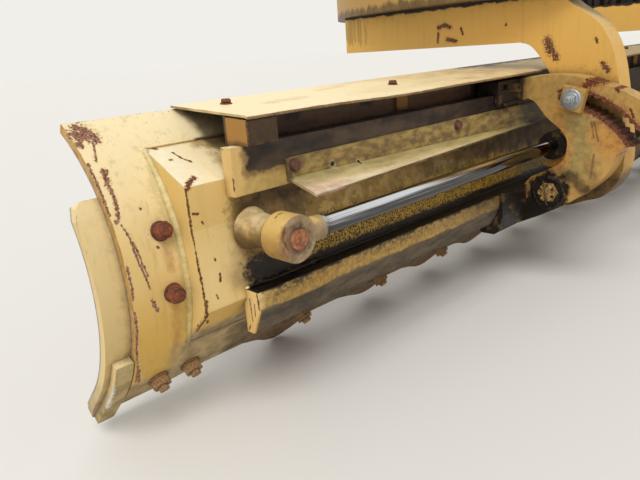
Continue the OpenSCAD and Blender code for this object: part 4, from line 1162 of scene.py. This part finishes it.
class BLADE_OT_grease(bpy.types.Operator):
    """Grease pushed out of the slides and pivots, and split pins in the pivots' nuts"""
    bl_idname = "blade.grease"
    bl_label = "Packed grease"

    def execute(self, context):
        black = old_grease("Packed_grease", "#2E241A", 0.4, 14)
        y, z = LOWER_RAIL[1] - 5, LOWER_RAIL[2] + 2
        rolls = []
        for seed, end in enumerate(ENDS, 20):
            x0, x1 = sorted(from_end(x, end) for x in RAIL_ROLL)
            rolls.append(packed_line([(x0, y, z), (x1, y, z)], (0, -0.7, 0.7), ROLL_R, seed))
        piece("rail_grease", rolls, black, "blade")
        # Rolls along the lower and the upper shoes, and rings round the pivots
        parts, pins = [], []
        for k, end in enumerate(ENDS):
            x0, x1, ring_x, pin_x = (from_end(x, end) for x in (*SHOE_X, RING_X, PIN_X))
            for seed, (y, z) in enumerate(SHOE_ROLLS, 30 + 7 * k):
                parts.append(packed_line([(x0, y, z), (x1, y, z)], (0, -1, 0), ROLL_R, seed, 4))
            ring = [(ring_x, PIVOT_Y + RING_R * math.cos(a), PIVOT_Z + RING_R * math.sin(a))
                    for a in np.linspace(0, 2 * math.pi, 40)]
            parts.append(packed_line(ring, (-1, 0, 0), 7.5, 50 + k))
            # A split pin: through the nut, its legs bent away from the bracket
            bent = [(pin_x - end * back, PIVOT_Y + y, PIVOT_Z + z) for back, y, z in (
                (0, -8, -31), (0, -4, -24), (0, 4, 24), (2, 7, 29), (8, 8, 31))]
            path, _, side, out = stepped(bent, 2, (1, 0.02, 0.01))
            pins.append(carried(path, side, out, np.full((len(path), 8), WIRE_R)))
        piece("shoe_grease", parts, black, "tilt")
        wire = rusted_steel("Oily_wire", "#261C12", "#5E4830", 2, "#4A3420")
        piece("split_pins", pins, wire, "circle")
        return {"FINISHED"}


class BLADE_OT_stage(bpy.types.Operator):
    """Plain floor, soft lamps and the photograph's camera"""
    bl_idname = "blade.stage"
    bl_label = "Stage"

    def execute(self, context):
        stage = context.scene.blade_stage
        scene = context.scene
        low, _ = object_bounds()
        mesh = bpy.data.meshes.new("floor")
        z, reach = low[2] - 0.001, 60
        mesh.from_pydata([(-reach, -reach, z), (reach, -reach, z), (reach, reach, z),
                          (-reach, reach, z)], [], [(0, 1, 2, 3)])
        floor = bpy.data.objects.new("floor", mesh)
        scene.collection.objects.link(floor)
        material = bpy.data.materials.new("Matt_studio_floor")
        material.use_nodes = True
        tree = material.node_tree
        feed(tree, tree.nodes["Principled BSDF"], {"Base Color": stage.floor, "Roughness": 0.9})
        mesh.materials.append(material)
        floor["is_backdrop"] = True
        # The camera and mirrors see a plain bright room, which lights the rest only evenly
        world = bpy.data.worlds.new("studio")
        world.use_nodes = True
        tree = world.node_tree
        tree.nodes.clear()
        shown = add(tree, "LightPath", out="Is Camera Ray")
        for kind in ("Is Glossy Ray", "Is Transmission Ray"):
            shown = add(tree, "Math", (shown, tree.nodes["Light Path"].outputs[kind]), **MOST)
        even = add(tree, "Background", {"Color": (1, 0.99, 0.97, 1), "Strength": stage.even})
        seen = add(tree, "Background", {"Color": "#F1EFEA", "Strength": 1})
        add(tree, "OutputWorld", {"Surface": add(tree, "MixShader", (shown, even, seen))})
        scene.world = world
        for name, towards, power, angle in (
                ("key_lamp", (-0.42, -0.44, 0.79), stage.key, 36),
                ("side_lamp", (-0.93, -0.1, 0.34), stage.key * 0.36, 70),
                ("front_lamp", (0.3, 0.8, 0.5), stage.key * 0.2, 60)):
            lamp = bpy.data.lights.new(name, "SUN")
            lamp.energy, lamp.angle, lamp.color = power, math.radians(angle), (1, 0.985, 0.96)
            obj = bpy.data.objects.new(name, lamp)
            obj.location = Vector(towards) * 4
            obj.rotation_euler = Vector(towards).to_track_quat("Z", "Y").to_euler()
            scene.collection.objects.link(obj)
        data = bpy.data.cameras.new("photo_camera")
        data.sensor_width, data.lens, data.clip_end = 36, stage.lens, 200
        camera = bpy.data.objects.new("photo_camera", data)
        right = Vector((0.71025, -0.70024, -0.07217))
        up = Vector((0.26144, 0.1672, 0.95063))
        ahead = Vector((0.6536, 0.69405, -0.30183))
        camera.matrix_world = Matrix.Translation((-2.205, -1.024, -0.132)) @ Matrix(
            (right, up, -ahead)).transposed().to_4x4()
        scene.collection.objects.link(camera)
        scene.camera = camera
        scene.view_settings.view_transform = "Standard"
        return {"FINISHED"}


class BLADE_PT_panel(bpy.types.Panel):
    """Settings and steps of the blade's finish"""
    bl_idname = "BLADE_PT_panel"
    bl_label = "Grader blade"
    bl_space_type = "VIEW_3D"
    bl_region_type = "UI"
    bl_category = "Blade"

    def draw(self, context):
        scene, layout = context.scene, self.layout
        for group in (scene.blade_paint, scene.blade_deck, scene.blade_stage):
            column = layout.column(align=True)
            for key in group.__annotations__:
                column.prop(group, key)
        for step in STEPS:
            layout.operator(step.bl_idname)


STEPS = (BLADE_OT_moldboard_paint, BLADE_OT_carrier_paint, BLADE_OT_bare_steel, BLADE_OT_deck,
         BLADE_OT_welds, BLADE_OT_stud_collar, BLADE_OT_plow_bolts, BLADE_OT_nuts,
         BLADE_OT_grease, BLADE_OT_stage)
CLASSES = (PaintSettings, DeckSettings, StageSettings) + STEPS + (BLADE_PT_panel,)


def register():
    for one in CLASSES:
        bpy.utils.register_class(one)
    bpy.types.Scene.blade_paint = PointerProperty(type=PaintSettings)
    bpy.types.Scene.blade_deck = PointerProperty(type=DeckSettings)
    bpy.types.Scene.blade_stage = PointerProperty(type=StageSettings)


def unregister():
    for key in ("blade_stage", "blade_deck", "blade_paint"):
        delattr(bpy.types.Scene, key)
    for one in reversed(CLASSES):
        bpy.utils.unregister_class(one)


def main():
    register()
    for step in STEPS:
        group, _, name = step.bl_idname.partition(".")
        getattr(getattr(bpy.ops, group), name)()


if __name__ == "__main__":
    main()
